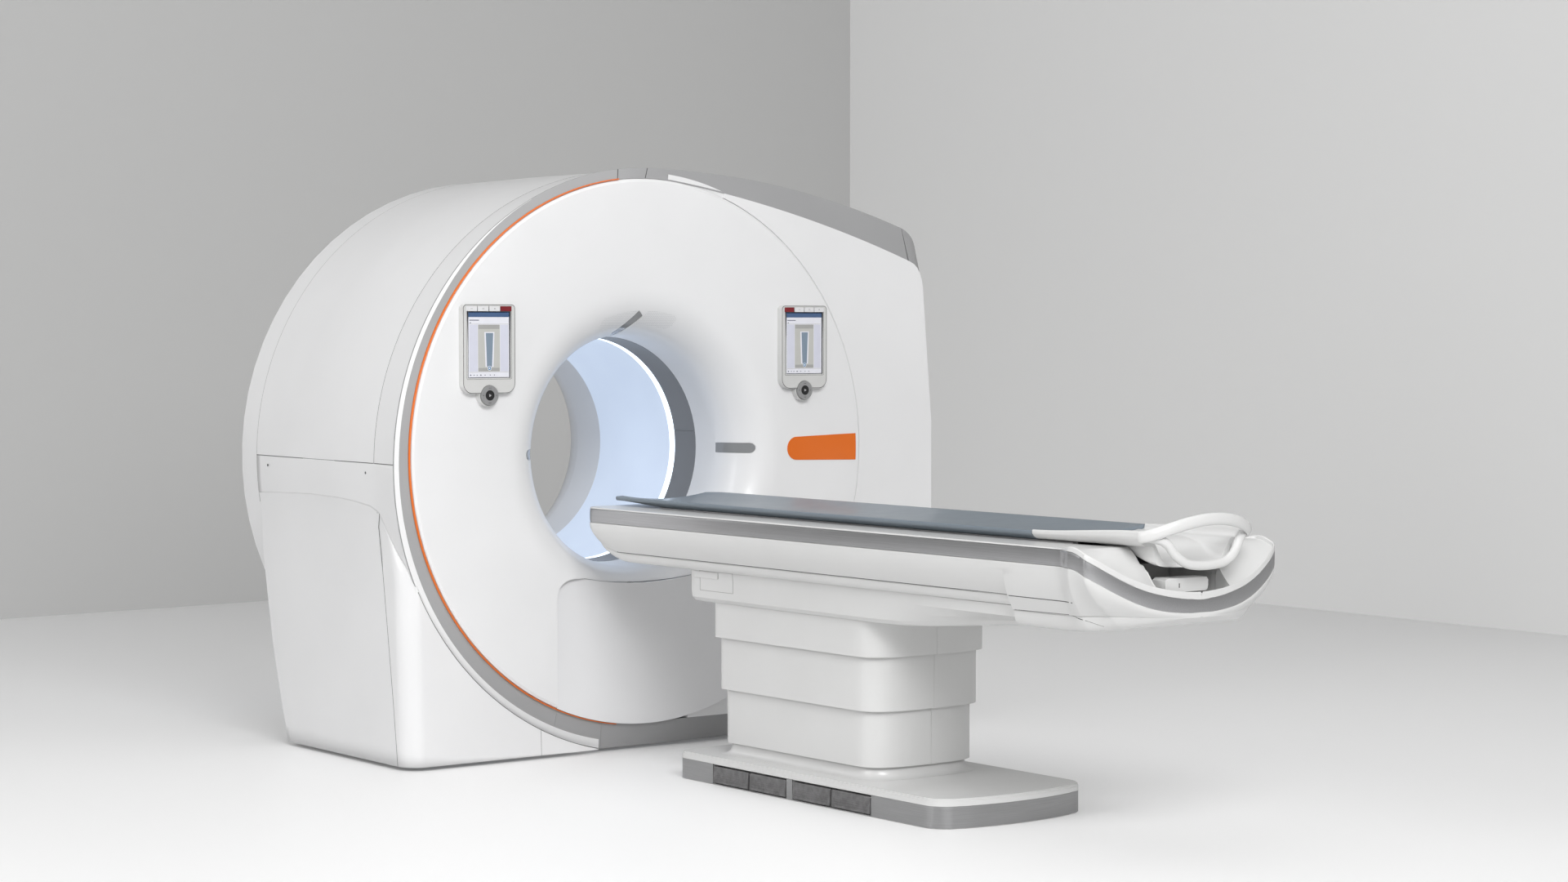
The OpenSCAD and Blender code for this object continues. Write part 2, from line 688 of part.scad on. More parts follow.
module pedal(k) {
    y1 = pair_y[k < 2 ? 0 : 1] - (k % 2) * (pedal_l + pedal_gap);
    x = -base_hw;
    color([0.3, 0.31, 0.33])
        difference() {
            union() {
                along_y(y1 - pedal_l, y1)
                    polygon([[x - 3, 8], [x + 2, 8], [x + 6, 12], [pin_x - 4, 12], [pin_x + 4, 14],
                        [pin_x + 4, 27], [x + 12, 30], [x + 12, 56], [x + 8, 59], [x + 2, 59],
                        [x - 1, 56]]);
            }
            rod_y(pin_x, pin_z, 4.05, y1 - pedal_l - 1, y1 + 1);
            // Grip grooves across the face
            for (i = [0:4])
                along_y(y1 - pedal_l + 12, y1 - 12)
                    translate([x - 3.6, 17 + 8 * i]) rotate(3) square([2, 2.4]);
        }
}
module pedal_1() pedal(0);
module pedal_2() pedal(1);
module pedal_3() pedal(2);
module pedal_4() pedal(3);

// Column plan, grown outwards by g
col_head = -726;
col_foot = -1482;
function col_plan(g) = let (hw = skirt_hw + g, y1 = col_head + g, y0 = col_foot - g, e = 112) concat(
    arc([hw - 40, y1 - 40], 40, 0, 90, 4),
    arc([-hw + 40, y1 - 40], 40, 90, 180, 4),
    [for (i = [0:18]) let (a = 180 + 10 * i)
        [hw * sign(cos(a)) * pow(abs(cos(a)), 0.6), y0 + e + e * sign(sin(a)) * pow(abs(sin(a)), 0.75)]]);
module sleeve(k, z0, z1) {
    g = k * sleeve_step;
    lip = k < 3 ? sleeve_step - sleeve_t - slide_gap : 0;
    difference() {
        union() {
            col_slab(g, z0, z1);
            // Wiper lip that guides the next sleeve
            if (lip > 0)
                col_slab(g + lip, z1 - 10, z1 - 2);
        }
        col_slab(g - sleeve_t, z0 - 1, z1 + 1);
        // Seam between the two half shells
        translate([-0.4, -2000 - scan_depth, z0 - 1])
            cube([0.8, 800, z1 - z0 + 2]);
    }
}
slide_gap = 0.3;
module col_slab(g, z0, z1) {
    translate([0, -scan_depth, z0])
        linear_extrude(z1 - z0)
            polygon(col_plan(g));
}
module column_skirt() color(white) {
    sleeve(0, base_h, 165);
    // Flange on the base
    difference() {
        col_slab(8, base_h, base_h + 5);
        col_slab(-1, base_h - 1, base_h + 6);
    }
}
sleeve_z = [0, 124, 295, 460];
module lower_sleeve() color(white) sleeve(1, sleeve_z[1], 312);
module middle_sleeve() color(white) sleeve(2, sleeve_z[2], 477);
module upper_sleeve() color(white) sleeve(3, sleeve_z[3], 588);

// Lift: a fixed tube, a middle stage and the post under the head
mast_y = -1075;
module square_tube(hw, t, z0, z1) {
    translate([0, mast_y - scan_depth, (z0 + z1) / 2])
        difference() {
            cube([2 * hw, 2 * hw, z1 - z0], center = true);
            cube([2 * (hw - t), 2 * (hw - t), z1 - z0 + 2], center = true);
        }
}
module lift_mast() color(steel) {
    square_tube(150, 8, 20, 420);
}
module lift_stage() color(steel) {
    square_tube(141.5, 8, 300, 600);
}

// Cradle: half width, rim height, floor height at each distance from the front cover
dip_y = 2430;
foot_flare = 29;
foot_round = 79;
function cradle_w(y) = let (u = (y - (foot_end - foot_round)) / foot_round)
    y < head_gap + 60 ? cradle_hw - 60 + 60 * sqrt(max(0, 1 - pow((head_gap + 60 - y) / 60, 2)))
    : (cradle_hw + foot_flare * ease((y - dip_y) / 70)) * (u > 0 ? pow(max(0.0, 1 - pow(u, 1.55)), 1 / 1.8) : 1);
// The same outline the other way round: distance at which the foot end is x wide to a side
function foot_y(x) = foot_end - foot_round + foot_round
    * pow(1 - pow(abs(x) / (cradle_hw + foot_flare), 1.8), 1 / 1.55);
// The rim sinks round the foot end, most at its tip
dip_deep = 133;
dip_rise = 0.0007;
function foot_rim(x, y) = rim_h - (dip_deep - dip_rise * x * x) * ease((y - foot_end + 140) / 130);
function rim_z(y) = foot_rim(cradle_w(y), y);
belly_y = 2200;
function floor_z(y) = y < head_gap + 200
    ? rim_h - 178 + 112 * (1 - sqrt(1 - pow((head_gap + 200 - y) / 200.5, 2)))
    : y < belly_y ? rim_h - 178
    : mix(rim_h - 232, rim_h - 190, pow((y - belly_y) / (foot_end - belly_y), 5));
seam_dz = 142;
function cradle_half(y, d) = let (w = cradle_w(y), z = rim_z(y), b = floor_z(y), k = w / cradle_hw)
    [[w - 2 - d, z - d], [w - d, z - 3 - d], [w - d, z - 4], [w - 4 - d, z - 5],
        [w - 4 - d, z - rail_h], [w + 1 - d, z - rail_h - 1], [w + 2 * k - d, z - rail_h - 12],
        [w - 4 * k - d, mix(z - rail_h - 12, b, 0.3)], [w - 20 * k - d, mix(z - rail_h - 12, b, 0.6)],
        [w - 36 * k - d, mix(z - rail_h - 12, b, 0.74)], [w - 44 * k - d, mix(z - rail_h - 12, b, 0.8)],
        [w - 50 * k - d, mix(z - rail_h - 12, b, 0.97) + d / 2], [w - 66 * k - d, b + d]];
function cradle_ring(y, d) = let (h = cradle_half(y, d)) concat(
    [for (p = h) [p[0], -y, p[1]]], [for (i = [len(h) - 1:-1:0]) [-h[i][0], -y, h[i][1]]]);
cradle_stations = concat([for (i = [0:5]) head_gap + 60 * (1 - cos(15 * i)) + 0.01],
    [head_gap + 90, head_gap + 130, head_gap + 200, 700, 1300, belly_y - 1, belly_y + 1, 2330],
    [for (y = [dip_y:17.5:dip_y + 71]) y],
    [for (i = [1:12]) mix(dip_y + 70, foot_end - 1, sin(7.5 * i) * 0.4 + 0.05 * i)]);
module cradle_body(d, y0, y1) {
    loft([for (y = cradle_stations) if (y > y0 && y < y1) cradle_ring(y, d)]);
}
chan_hw = 190;
chan_z = rim_h - 65;
chan_head = 330;
chan_foot = 2612;
module channel(g, z0) {
    translate([0, -scan_depth, z0])
        linear_extrude(rim_h + 40 - z0)
            polygon(concat(
                [[chan_hw + g, -chan_head + g], [-chan_hw - g, -chan_head + g],
                    [-chan_hw - g, -dip_y + 20], [-150 - g, -dip_y - 60]],
                arc([-90 - g, -chan_foot + 60 - g], 60, 180, 270, 5),
                arc([90 + g, -chan_foot + 60 - g], 60, 270, 360, 5),
                [[150 + g, -dip_y - 60], [chan_hw + g, -dip_y + 20]]));
}
// Deep pocket at the foot of the channel, under the handle
module pocket(g)
    block(-138 - g, 138 + g, -chan_foot - g, -dip_y - 60 + g, rim_h - 152 - g, rim_h + 40);
module cradle() color(white) {
    difference() {
        union() {
            difference() {
                cradle_body(0, 0, 9999);
                cradle_body(cover_t, head_gap + 20, foot_end - 12);
            }
            intersection() {
                union() {
                    channel(cover_t, chan_z - cover_t);
                    pocket(cover_t);
                }
                cradle_body(0.5, 0, 9999);
            }
        }
        channel(0, chan_z);
        pocket(0);
        // Way through for the lift's stages
        block(-165, 165, mast_y - 165, mast_y + 165, 600, chan_z - cover_t - 0.5);
    }
    // Post that slides in the lift's middle stage
    square_tube(133, 8, 500, chan_z - cover_t + 1);
}

// Steel band round the cradle, in the groove under its rim
function band_half(y) = let (w = cradle_w(y), z = rim_z(y))
    [[w - 0.4, z - 5.5], [w - 0.4, z - rail_h + 0.5], [w - 3.8, z - rail_h + 0.5], [w - 3.8, z - 5.5]];
strip_hw = 270;
module rail_band() color(steel) {
    st = [for (y = cradle_stations) if (y < foot_y(strip_hw)) y];
    for (s = [-1, 1])
        loft([for (y = st) let (h = band_half(y), ring = [for (p = h) [s * p[0], -y, p[1]]])
            s > 0 ? ring : rev(ring)]);
    loft([for (i = [-10:10]) let (x = -strip_hw * sin(9 * i), y = foot_y(x), z = foot_rim(x, y),
        t = mix(1.5, 3.5, ease((strip_hw - abs(x)) / 80)))
        [[x, -y - 0.4 - t, z - 5.5], [x, -y - 0.4 - t, z - rail_h + 0.5], [x, -y - 0.4, z - rail_h + 0.5],
            [x, -y - 0.4, z - 5.5]]]);
}

// Head of the column: shell under the cradle that runs out into the belly
function head_half(y) = let (t = ease((y - 1450) / 700), b = mix(568, 606, ease((y - 1600) / 600)),
    wt = mix(262, 272, t), wb = mix(252, 190, t), e = y < 640 ? (640 - y) / 4 : 0)
    [[wt - e, rim_h - 178.5], [wt - 2 - e, 640], [mix(wt, wb, 0.5) + 3 - e, mix(640, b, 0.45)],
        [wb + 6 - e, b + 16], [wb - 6 - e, b + 4], [wb - 22 - e, b]];
function head_ring(y) = let (h = head_half(y)) concat(
    [for (p = h) [p[0], -y, p[1]]], [for (i = [len(h) - 1:-1:0]) [-h[i][0], -y, h[i][1]]]);
head_y0 = 600;
module column_head() color(white) {
    difference() {
        loft([for (y = [head_y0, 606, 616, 640, 800, 1450, 1550, 1650, 1750, 1850, 1950, 2050, 2150,
            belly_y - 1.5]) head_ring(y)]);
        // The sleeves rise in here
        col_slab(3 * sleeve_step + slide_gap, 500, 700);
        // Hollow of the tail
        along_y(-belly_y + 20, col_foot - 3 * sleeve_step - 25)
            polygon([[-235, 700], [-235, 645], [-175, 613], [175, 613], [235, 645], [235, 700]]);
    }
}

// Access panel at the head end and hatch at the foot end
module housing_panels() color([0.88, 0.88, 0.89]) {
    block(-263.5, -261.8, -760, -630, 648, 668);
}

module guide_rails() color(steel)
    for (s = [-1, 1])
        block(s > 0 ? chan_hw - 22 : -chan_hw + 2, s > 0 ? chan_hw - 2 : -chan_hw + 22,
            -car_y0 - 130, -chan_head - 4, chan_z, rim_h + 2.7);

// Tabletop: a concave board that slides on the rails
top_z0 = rim_h + 3;
top_head = -92;
top_foot = -2192;
function top_section() = concat(
    [for (i = [-10:10]) let (x = top_hw * i / 10) [x, top_z0 + 12 + 16 * pow(i / 10, 2)]],
    [[top_hw, top_z0 + 16], [top_hw - 12, top_z0 + 11], [chan_hw + 6, top_z0 + 2], [chan_hw - 4, top_z0],
        [-chan_hw + 4, top_z0], [-chan_hw - 6, top_z0 + 2], [-top_hw + 12, top_z0 + 11],
        [-top_hw, top_z0 + 16]]);
module tabletop() color(bluegrey)
    intersection() {
        along_y(top_foot, top_head) polygon(rev(top_section()));
        translate([0, -scan_depth, 0])
            linear_extrude(2000)
                polygon(concat(arc([top_hw - 50, top_head - 50], 50, 0, 90, 6),
                    arc([-top_hw + 50, top_head - 50], 50, 90, 180, 6),
                    [[-top_hw, top_foot], [top_hw, top_foot]]));
        // Thins out towards the head end
        translate([0, -scan_depth, 0])
            rotate([90, 0, 90])
                linear_extrude(1000, center = true)
                    polygon([[top_foot - 10, 700], [top_head - 300, 700], [top_head - 300, top_z0],
                        [top_head + 10, top_z0 + 13], [top_head + 10, 1000], [top_foot - 10, 1000]]);
    }

// Foot-end carriage: an open bowl that carries on from the tabletop
car_y0 = 2194;
car_y1 = 2600;
function car_half(y) = let (t = (y - car_y0) / (car_y1 - car_y0), u = ease((t - 0.35) / 0.65),
    top = mix(top_z0 + 30, rim_h + 50, ease(t)), w = mix(top_hw, 205, t),
    low = mix(top_z0 + 1, rim_h - 46, u), th = mix(8, 14, t))
    [[w, top], [w - 2, mix(top, top_z0 + 8, 0.6)], [mix(w - 20, 180, u), top_z0 + 4],
        [mix(w - 56, 150, u), top_z0 + 0.9], [mix(w - 66, 140, u), mix(top_z0 + 0.6, rim_h - 24, u)],
        [mix(w - 80, 112, u), mix(top_z0 + 0.3, low + 6, u)], [0, low],
        [0, low + mix(10, 12, t)], [mix(w - 80, 100, u), mix(top_z0 + 11, low + 17, u)],
        [mix(w - 50, 128, u), mix(top_z0 + 12, rim_h - 12, u)],
        [mix(w - 36, 146, u), mix(top_z0 + 14, top_z0 + 12, u)], [w - th - 6, mix(top, top_z0 + 8, 0.7)],
        [w - th, top]];
function car_out(y, d) = let (h = car_half(y)) concat(
    [for (i = [0:6]) [h[i][0], -y - d, h[i][1]]],
    [for (i = [5:-1:0]) [-h[i][0], -y - d, h[i][1]]]);
function car_in(y, d) = let (h = car_half(y)) concat(
    [[h[12][0], -y - d, h[12][1] + 20]],
    [for (i = [12:-1:7]) [h[i][0], -y - d, h[i][1]]],
    [for (i = [8:12]) [-h[i][0], -y - d, h[i][1]]],
    [[-h[12][0], -y - d, h[12][1] + 20]]);
// Stations along the carriage, carried g past both ends
function car_steps(g) = [for (i = [0:12]) [mix(car_y0, car_y1, i / 12), i == 0 ? -g : i == 12 ? g : 0]];
module carriage() color(white) {
    intersection() {
        difference() {
            loft([for (p = car_steps(2)) car_out(p[0], p[1])]);
            // Bowl, open at both ends
            loft([for (p = car_steps(4)) car_in(p[0], p[1])]);
        }
        block(-300, 300, -car_y1, -car_y0, 700, 1000);
    }
}
// Tube through points with n sides, half sizes r1 across and r2 upright
module tube_path(pts, r1, r2, n) {
    m = len(pts);
    function dir(i) = let (v = pts[min(i + 1, m - 1)] - pts[max(i - 1, 0)]) v / norm(v);
    loft([for (i = [0:m - 1]) let (d = dir(i), s = cross(d, [0, 0, 1]), sx = s / norm(s),
        sy = cross(d, sx))
        [for (k = [0:n - 1]) pts[i] + r1 * cos(360 * k / n) * sx - r2 * sin(360 * k / n) * sy]]);
}
// Grip at the foot end: a bow and a lower bar that meet on the carriage's side walls
grip_hw = 197;
grip_z = rim_h + 33;
bar_r = 13;
// The bar's lowest point clears the channel's floor
bar_drop = grip_z - chan_z - bar_r - 3;
bar_half = [[grip_hw, -12, 0], [grip_hw - 6, 4, 0.01], [172, 22, 0.045], [150, 36, 0.13], [134, 43, 0.28],
    [122, 46.5, 0.48], [102, 50, 0.72], [72, 52, 0.91], [36, 53, 0.98], [0, 53.5, 1]];
function bar_pt(i) = let (p = bar_half[i < 10 ? i : 18 - i])
    [i < 10 ? p[0] : -p[0], -car_y1 - p[1], grip_z - bar_drop * p[2]];
module bow_handle() color(white)
    intersection() {
        union() {
            tube_path([for (i = [-1:25]) let (a = 7.2 * i)
                [grip_hw * cos(a), -car_y1 - 84 * sin(a), grip_z + 46 * pow(sin(a), 2)]], 10, 17, 12);
            tube_path([for (i = [0:18]) bar_pt(i)], bar_r, bar_r, 12);
        }
        block(-300, 300, -car_y1 - 200, -car_y1 - slide_gap, 700, 1000);
    }

// Control panels
panel_z1 = iso_h + panel_rise;
panel_z0 = panel_z1 - panel_h;
stick_z = panel_z0 - 6;
function panel_plan(d) = concat(
    arc([panel_w / 2 - 14, panel_h / 2 - 14], 14 - d / 2, 0, 90, 4) ,
    arc([-panel_w / 2 + 14, panel_h / 2 - 14], 14 - d / 2, 90, 180, 4),
    arc([-panel_w / 2 + 34, -panel_h / 2 + 34], 34 - d, 180, 270, 6),
    arc([panel_w / 2 - 34, -panel_h / 2 + 34], 34 - d, 270, 360, 6));
key_w = (panel_w - 24) / 4;
key_h = 17;
module at_panel(s) {
    translate([s * panel_x, 0, panel_z1 - panel_h / 2])
        children();
}
module key_hole(s, k, g) {
    x = -panel_w / 2 + 12 + key_w * k;
    translate([x + g, panel_h / 2 - 6 - key_h + g])
        square([key_w - 2 - 2 * g, key_h - 2 * g]);
}
module panel_housings() color([0.8, 0.81, 0.82])
    for (s = [-1, 1])
        difference() {
            union() {
                at_panel(s)
                    along_y(-panel_t, 0) polygon(panel_plan(0));
                rod_y(s * panel_x, stick_z, stick_d / 2 + 3, -panel_t + 4, 0);
            }
            // Screen opening, key pocket and joystick well
            at_panel(s) {
                along_y(-panel_t - 1, -panel_t + 3)
                    translate([0, 14]) square([162, 218], center = true);
                along_y(-panel_t - 1, -panel_t + 9)
                    translate([-panel_w / 2 + 12.2, panel_h / 2 - 5.8 - key_h])
                        square([4 * key_w - 2.4, key_h - 0.4]);
            }
            rod_y(s * panel_x, stick_z, stick_d / 2 - 0.5, -panel_t, -panel_t + 16);
        }
module screens() color([0.85, 0.9, 0.98])
    for (s = [-1, 1])
        at_panel(s)
            along_y(-panel_t + 0.5, -panel_t + 3)
                translate([0, 14]) square([161, 217], center = true);
module key(s, k, n, tint) {
    color(tint)
        at_panel(s)
            along_y(-panel_t - 1, -panel_t + 6)
                for (i = [k:k + n - 1])
                    key_hole(s, i, 0.5);
}
module left_key_1() key(-1, 0, 1, white);
module left_key_2() key(-1, 1, 1, white);
module left_key_3() key(-1, 2, 1, white);
module left_stop_key() key(-1, 3, 1, [0.45, 0.05, 0.07]);
module right_stop_key() key(1, 0, 1, [0.45, 0.05, 0.07]);
module right_key_1() key(1, 1, 1, white);
module right_key_2() key(1, 2, 1, white);
module right_key_3() key(1, 3, 1, white);
module joystick(s) {
    color(silver)
        difference() {
            rod_y(s * panel_x, stick_z, stick_d / 2 - 1.5, -panel_t - 4, -panel_t + 8);
            rod_y(s * panel_x, stick_z, 17, -panel_t - 10, -panel_t + 5);
        }
    // Pin that the ring tilts on, in its well
    color(silver)
        translate([s * panel_x, -panel_t + 11.6 - scan_depth, stick_z])
            rotate([0, 90, 0])
                cylinder(r = 4, h = stick_d - 16, center = true);
}
module left_joystick() joystick(-1);
module right_joystick() joystick(1);
module stick_button(s) {
    color([0.06, 0.06, 0.07])
        rod_y(s * panel_x, stick_z, 16.6, -panel_t - 4, -panel_t + 2);
}
module left_button() stick_button(-1);
module right_button() stick_button(1);

gantry_frame();
levelling_feet();
main_bearing();
front_cover();
lower_front_panel();
right_front_panel();
trim_band();
accent_ring();
ring_strip();
upper_left_cover();
lower_left_cover();
leg_front_cover();
right_cover();
rear_cover();
tunnel_liner();
bore_ring();
light_ring();
laser_windows();
speaker_grille();
side_tab();
rotor_drum();
slip_ring();
xray_tubes();
detectors();
hv_generators();
table_base();
base_band();
pedal_pins();
pedal_1();
pedal_2();
pedal_3();
pedal_4();
column_skirt();
lift_mast();
lower_sleeve();
middle_sleeve();
upper_sleeve();
lift_stage();
column_head();
housing_panels();
cradle();
rail_band();
guide_rails();
tabletop();
carriage();
bow_handle();
panel_housings();
screens();
left_key_1();
left_key_2();
left_key_3();
left_stop_key();
left_joystick();
left_button();
right_key_1();
right_key_2();
right_key_3();
right_stop_key();
right_joystick();
right_button();
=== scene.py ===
"""Looks of a CT scanner: gantry with a round bore, and a patient table in front of it.

Lengths are in millimetres in the front cover's frame (x right, y behind the front cover,
z up from the floor) and become metres in the part's frame through pt().
"""
import math

import bmesh
import bpy
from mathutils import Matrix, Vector


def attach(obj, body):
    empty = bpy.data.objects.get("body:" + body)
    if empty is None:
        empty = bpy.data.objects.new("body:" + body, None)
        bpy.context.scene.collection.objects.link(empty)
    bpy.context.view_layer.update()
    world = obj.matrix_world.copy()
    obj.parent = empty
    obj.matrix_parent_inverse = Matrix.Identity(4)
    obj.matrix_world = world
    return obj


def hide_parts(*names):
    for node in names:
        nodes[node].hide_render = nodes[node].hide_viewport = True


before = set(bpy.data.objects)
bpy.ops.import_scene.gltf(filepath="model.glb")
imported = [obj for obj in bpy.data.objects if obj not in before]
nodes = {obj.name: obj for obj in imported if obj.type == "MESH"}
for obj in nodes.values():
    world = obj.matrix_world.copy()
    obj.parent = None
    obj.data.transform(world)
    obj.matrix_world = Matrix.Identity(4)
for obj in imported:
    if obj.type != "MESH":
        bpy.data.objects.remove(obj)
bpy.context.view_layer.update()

scene = bpy.context.scene
scene.view_settings.view_transform = "Standard"

# ---------------------------------------------------------------- sizes
MM = 0.001
SCAN = 415.0  # from the front cover back to the scan plane

# Gantry
ISO = 1020.0  # height of the bore's axis
BORE_R = 390.0
DISC_R = 930.0  # white disc in front
DRUM_R = 998.0  # outer edge of the bevel band
DRUM_C = (30.0, 990.0)  # the drum's middle, in x and z
SKIN_R = DRUM_R - 9.0
BAND_Y, STRIP_Y = 18.0, 48.0  # depth of the band's inner and outer edge
SEAM1_Y, SEAM2_Y = 1020.0, 193.0  # rear and front joint round the drum
SPLIT_H = 1000.0  # joint between the upper and the lower left cover
TOE = 12.0  # gap under the covers
SEAM = 0.8  # gap between neighbouring covers

# Cradle; its lengths along y run from the front cover to the foot end
RIM_H = 850.0
CRADLE_HW = 335.0
HEAD_GAP, HEAD_ROUND = 100.0, 60.0
HEAD_RUN, HEAD_RISE = 200.0, 112.0  # how far and how high the bottom curves up at the head
FOOT_END = 2637.0
FOOT_FLARE, FOOT_ROUND = 29.0, 79.0
FOOT_ALONG, FOOT_ACROSS = 1.55, 1.8  # exponents of the foot end's outline
DIP_Y = 2430.0  # where the rim begins to sink
DIP_DEEP, DIP_RISE = 133.0, 0.0007
RAIL_H = 50.0  # height of the steel band
DECK_EDGE = 9.0  # from the side in to the deck
BODY_DROP = 178.0  # from the rim down to the straight bottom
BELLY_Y = 2200.0  # end of the straight bottom
CHAN_HW, CHAN_Z = 190.0, 785.0
CHAN_HEAD, CHAN_FOOT = 330.0, 2612.0
FOOT_CHAN_HW = 150.0  # the channel is narrower at the foot
POCKET_HW, POCKET_Y, POCKET_Z = 138.0, DIP_Y - 60, RIM_H - 152
LIP = 11.0  # raised edge of the deck round the foot

FRONT, LEFT = Vector((0, -1, 0)), Vector((-1, 0, 0))
CAD_CREASE, BEVEL_FROM = math.radians(28), math.radians(35)


def pt(x, y, z):
    """Point of the front cover's frame, in millimetres, as metres of the part's frame."""
    return Vector((x * MM, (y - SCAN) * MM, z * MM))


def mix(a, b, t):
    return a + (b - a) * t


def ease(t):
    u = min(1.0, max(0.0, t))
    return u * u * (3 - 2 * u)


def bez(p, q, s, n):
    """Points of a quadratic curve from p to s."""
    out = []
    for i in range(n + 1):
        t = i / n
        out.append(tuple((1 - t) ** 2 * a + 2 * t * (1 - t) * b + t * t * c for a, b, c in zip(p, q, s)))
    return out


def arc(cx, cz, r, a0, a1, n):
    """Points of an arc, angles in degrees."""
    angles = [math.radians(mix(a0, a1, i / n)) for i in range(n + 1)]
    return [(cx + r * math.cos(a), cz + r * math.sin(a)) for a in angles]


# ---------------------------------------------------------------- materials
def new_material(name):
    """Material with its node tree and its main shader."""
    mat = bpy.data.materials.new(name)
    mat.use_nodes = True
    nt = mat.node_tree
    return mat, nt, nt.nodes["Principled BSDF"]


def coords(nt, scale=(1, 1, 1)):
    """Object coordinates, scaled."""
    tc = nt.nodes.new("ShaderNodeTexCoord")
    mp = nt.nodes.new("ShaderNodeMapping")
    mp.inputs["Scale"].default_value = scale
    nt.links.new(tc.outputs["Object"], mp.inputs["Vector"])
    return mp.outputs["Vector"]


def noise(nt, scale, detail=3.0, stretch=(1, 1, 1), rough=0.55):
    n = nt.nodes.new("ShaderNodeTexNoise")
    n.inputs["Scale"].default_value = scale
    n.inputs["Detail"].default_value = detail
    n.inputs["Roughness"].default_value = rough
    nt.links.new(coords(nt, stretch), n.inputs["Vector"])
    return n.outputs["Fac"]


def ramp(nt, fac, lo, hi, a=0.35, b=0.65):
    """Colour from lo to hi as fac runs from a to b."""
    r = nt.nodes.new("ShaderNodeValToRGB")
    r.color_ramp.elements[0].position = a
    r.color_ramp.elements[1].position = b
    r.color_ramp.elements[0].color = (*lo, 1)
    r.color_ramp.elements[1].color = (*hi, 1)
    nt.links.new(fac, r.inputs["Fac"])
    return r.outputs["Color"]


def span(nt, fac, lo, hi):
    """Value from lo to hi as fac runs from 0 to 1."""
    m = nt.nodes.new("ShaderNodeMapRange")
    m.inputs["To Min"].default_value = lo
    m.inputs["To Max"].default_value = hi
    nt.links.new(fac, m.inputs["Value"])
    return m.outputs["Result"]


def bump(nt, bsdf, height, strength, distance):
    b = nt.nodes.new("ShaderNodeBump")
    b.inputs["Strength"].default_value = strength
    b.inputs["Distance"].default_value = distance
    nt.links.new(height, b.inputs["Height"])
    nt.links.new(b.outputs["Normal"], bsdf.inputs["Normal"])


def plastic(name, base, rough=0.3, vary=0.012, coat=0.25, grain=0.00005, grain_scale=900.0):
    """Moulded or painted plastic: faint cloudiness, fine grain, uneven sheen."""
    mat, nt, b = new_material(name)
    lo = [max(0, c - vary) for c in base]
    hi = [min(1, c + vary) for c in base]
    nt.links.new(ramp(nt, noise(nt, 2.2, 2.0), lo, hi), b.inputs["Base Color"])
    nt.links.new(span(nt, noise(nt, 14.0, 3.0), rough - 0.03, rough + 0.05), b.inputs["Roughness"])
    b.inputs["Coat Weight"].default_value = coat
    b.inputs["Coat Roughness"].default_value = 0.12
    bump(nt, b, noise(nt, grain_scale, 2.0), 0.25, grain)
    return mat


def metal(name, base, rough=0.32, stretch=(900, 6, 900), metallic=1.0, depth=0.00002):
    """Brushed metal: fine lines along the axis with the small number in stretch."""
    mat, nt, b = new_material(name)
    lines = noise(nt, 1.0, 4.0, stretch, 0.7)
    lo = [c * 0.86 for c in base]
    hi = [min(1, c * 1.1) for c in base]
    nt.links.new(ramp(nt, lines, lo, hi, 0.3, 0.7), b.inputs["Base Color"])
    nt.links.new(span(nt, lines, rough - 0.06, rough + 0.1), b.inputs["Roughness"])
    b.inputs["Metallic"].default_value = metallic
    bump(nt, b, lines, 0.3, depth)
    return mat


def glowing(name, base, light, strength, rough=0.4):
    """Lit plastic whose glow fades a little from place to place."""
    mat, nt, b = new_material(name)
    b.inputs["Base Color"].default_value = (*base, 1)
    b.inputs["Roughness"].default_value = rough
    cloud = noise(nt, 3.0, 2.0)
    nt.links.new(ramp(nt, cloud, [c * 0.94 for c in light], light), b.inputs["Emission Color"])
    nt.links.new(span(nt, cloud, strength * 0.93, strength * 1.05), b.inputs["Emission Strength"])
    return mat


def textured_rubber(name, base):
    """Dark pedal rubber with small raised dots in rows."""
    mat, nt, b = new_material(name)
    vor = nt.nodes.new("ShaderNodeTexVoronoi")
    vor.inputs["Scale"].default_value = 1.0
    vor.inputs["Randomness"].default_value = 0.0
    nt.links.new(coords(nt, (160, 160, 160)), vor.inputs["Vector"])
    dots = span(nt, vor.outputs["Distance"], 1.0, 0.0)
    lo = [c * 0.8 for c in base]
    hi = [c * 1.25 for c in base]
    nt.links.new(ramp(nt, noise(nt, 60.0), lo, hi), b.inputs["Base Color"])
    b.inputs["Roughness"].default_value = 0.55
    bump(nt, b, dots, 0.8, 0.0012)
    return mat


def perforated(name, base, hole, pitch=5.2):
    """Moulded plastic with rows of fine holes, laid out in X and Z."""
    mat, nt, b = new_material(name)
    vor = nt.nodes.new("ShaderNodeTexVoronoi")
    vor.inputs["Scale"].default_value = 1.0
    vor.inputs["Randomness"].default_value = 0.0
    nt.links.new(coords(nt, (1000 / pitch, 0, 1000 / pitch)), vor.inputs["Vector"])
    nt.links.new(ramp(nt, vor.outputs["Distance"], hole, base, 0.24, 0.34), b.inputs["Base Color"])
    b.inputs["Roughness"].default_value = 0.4
    bump(nt, b, span(nt, vor.outputs["Distance"], 0.0, 0.3), 0.5, 0.0006)
    return mat


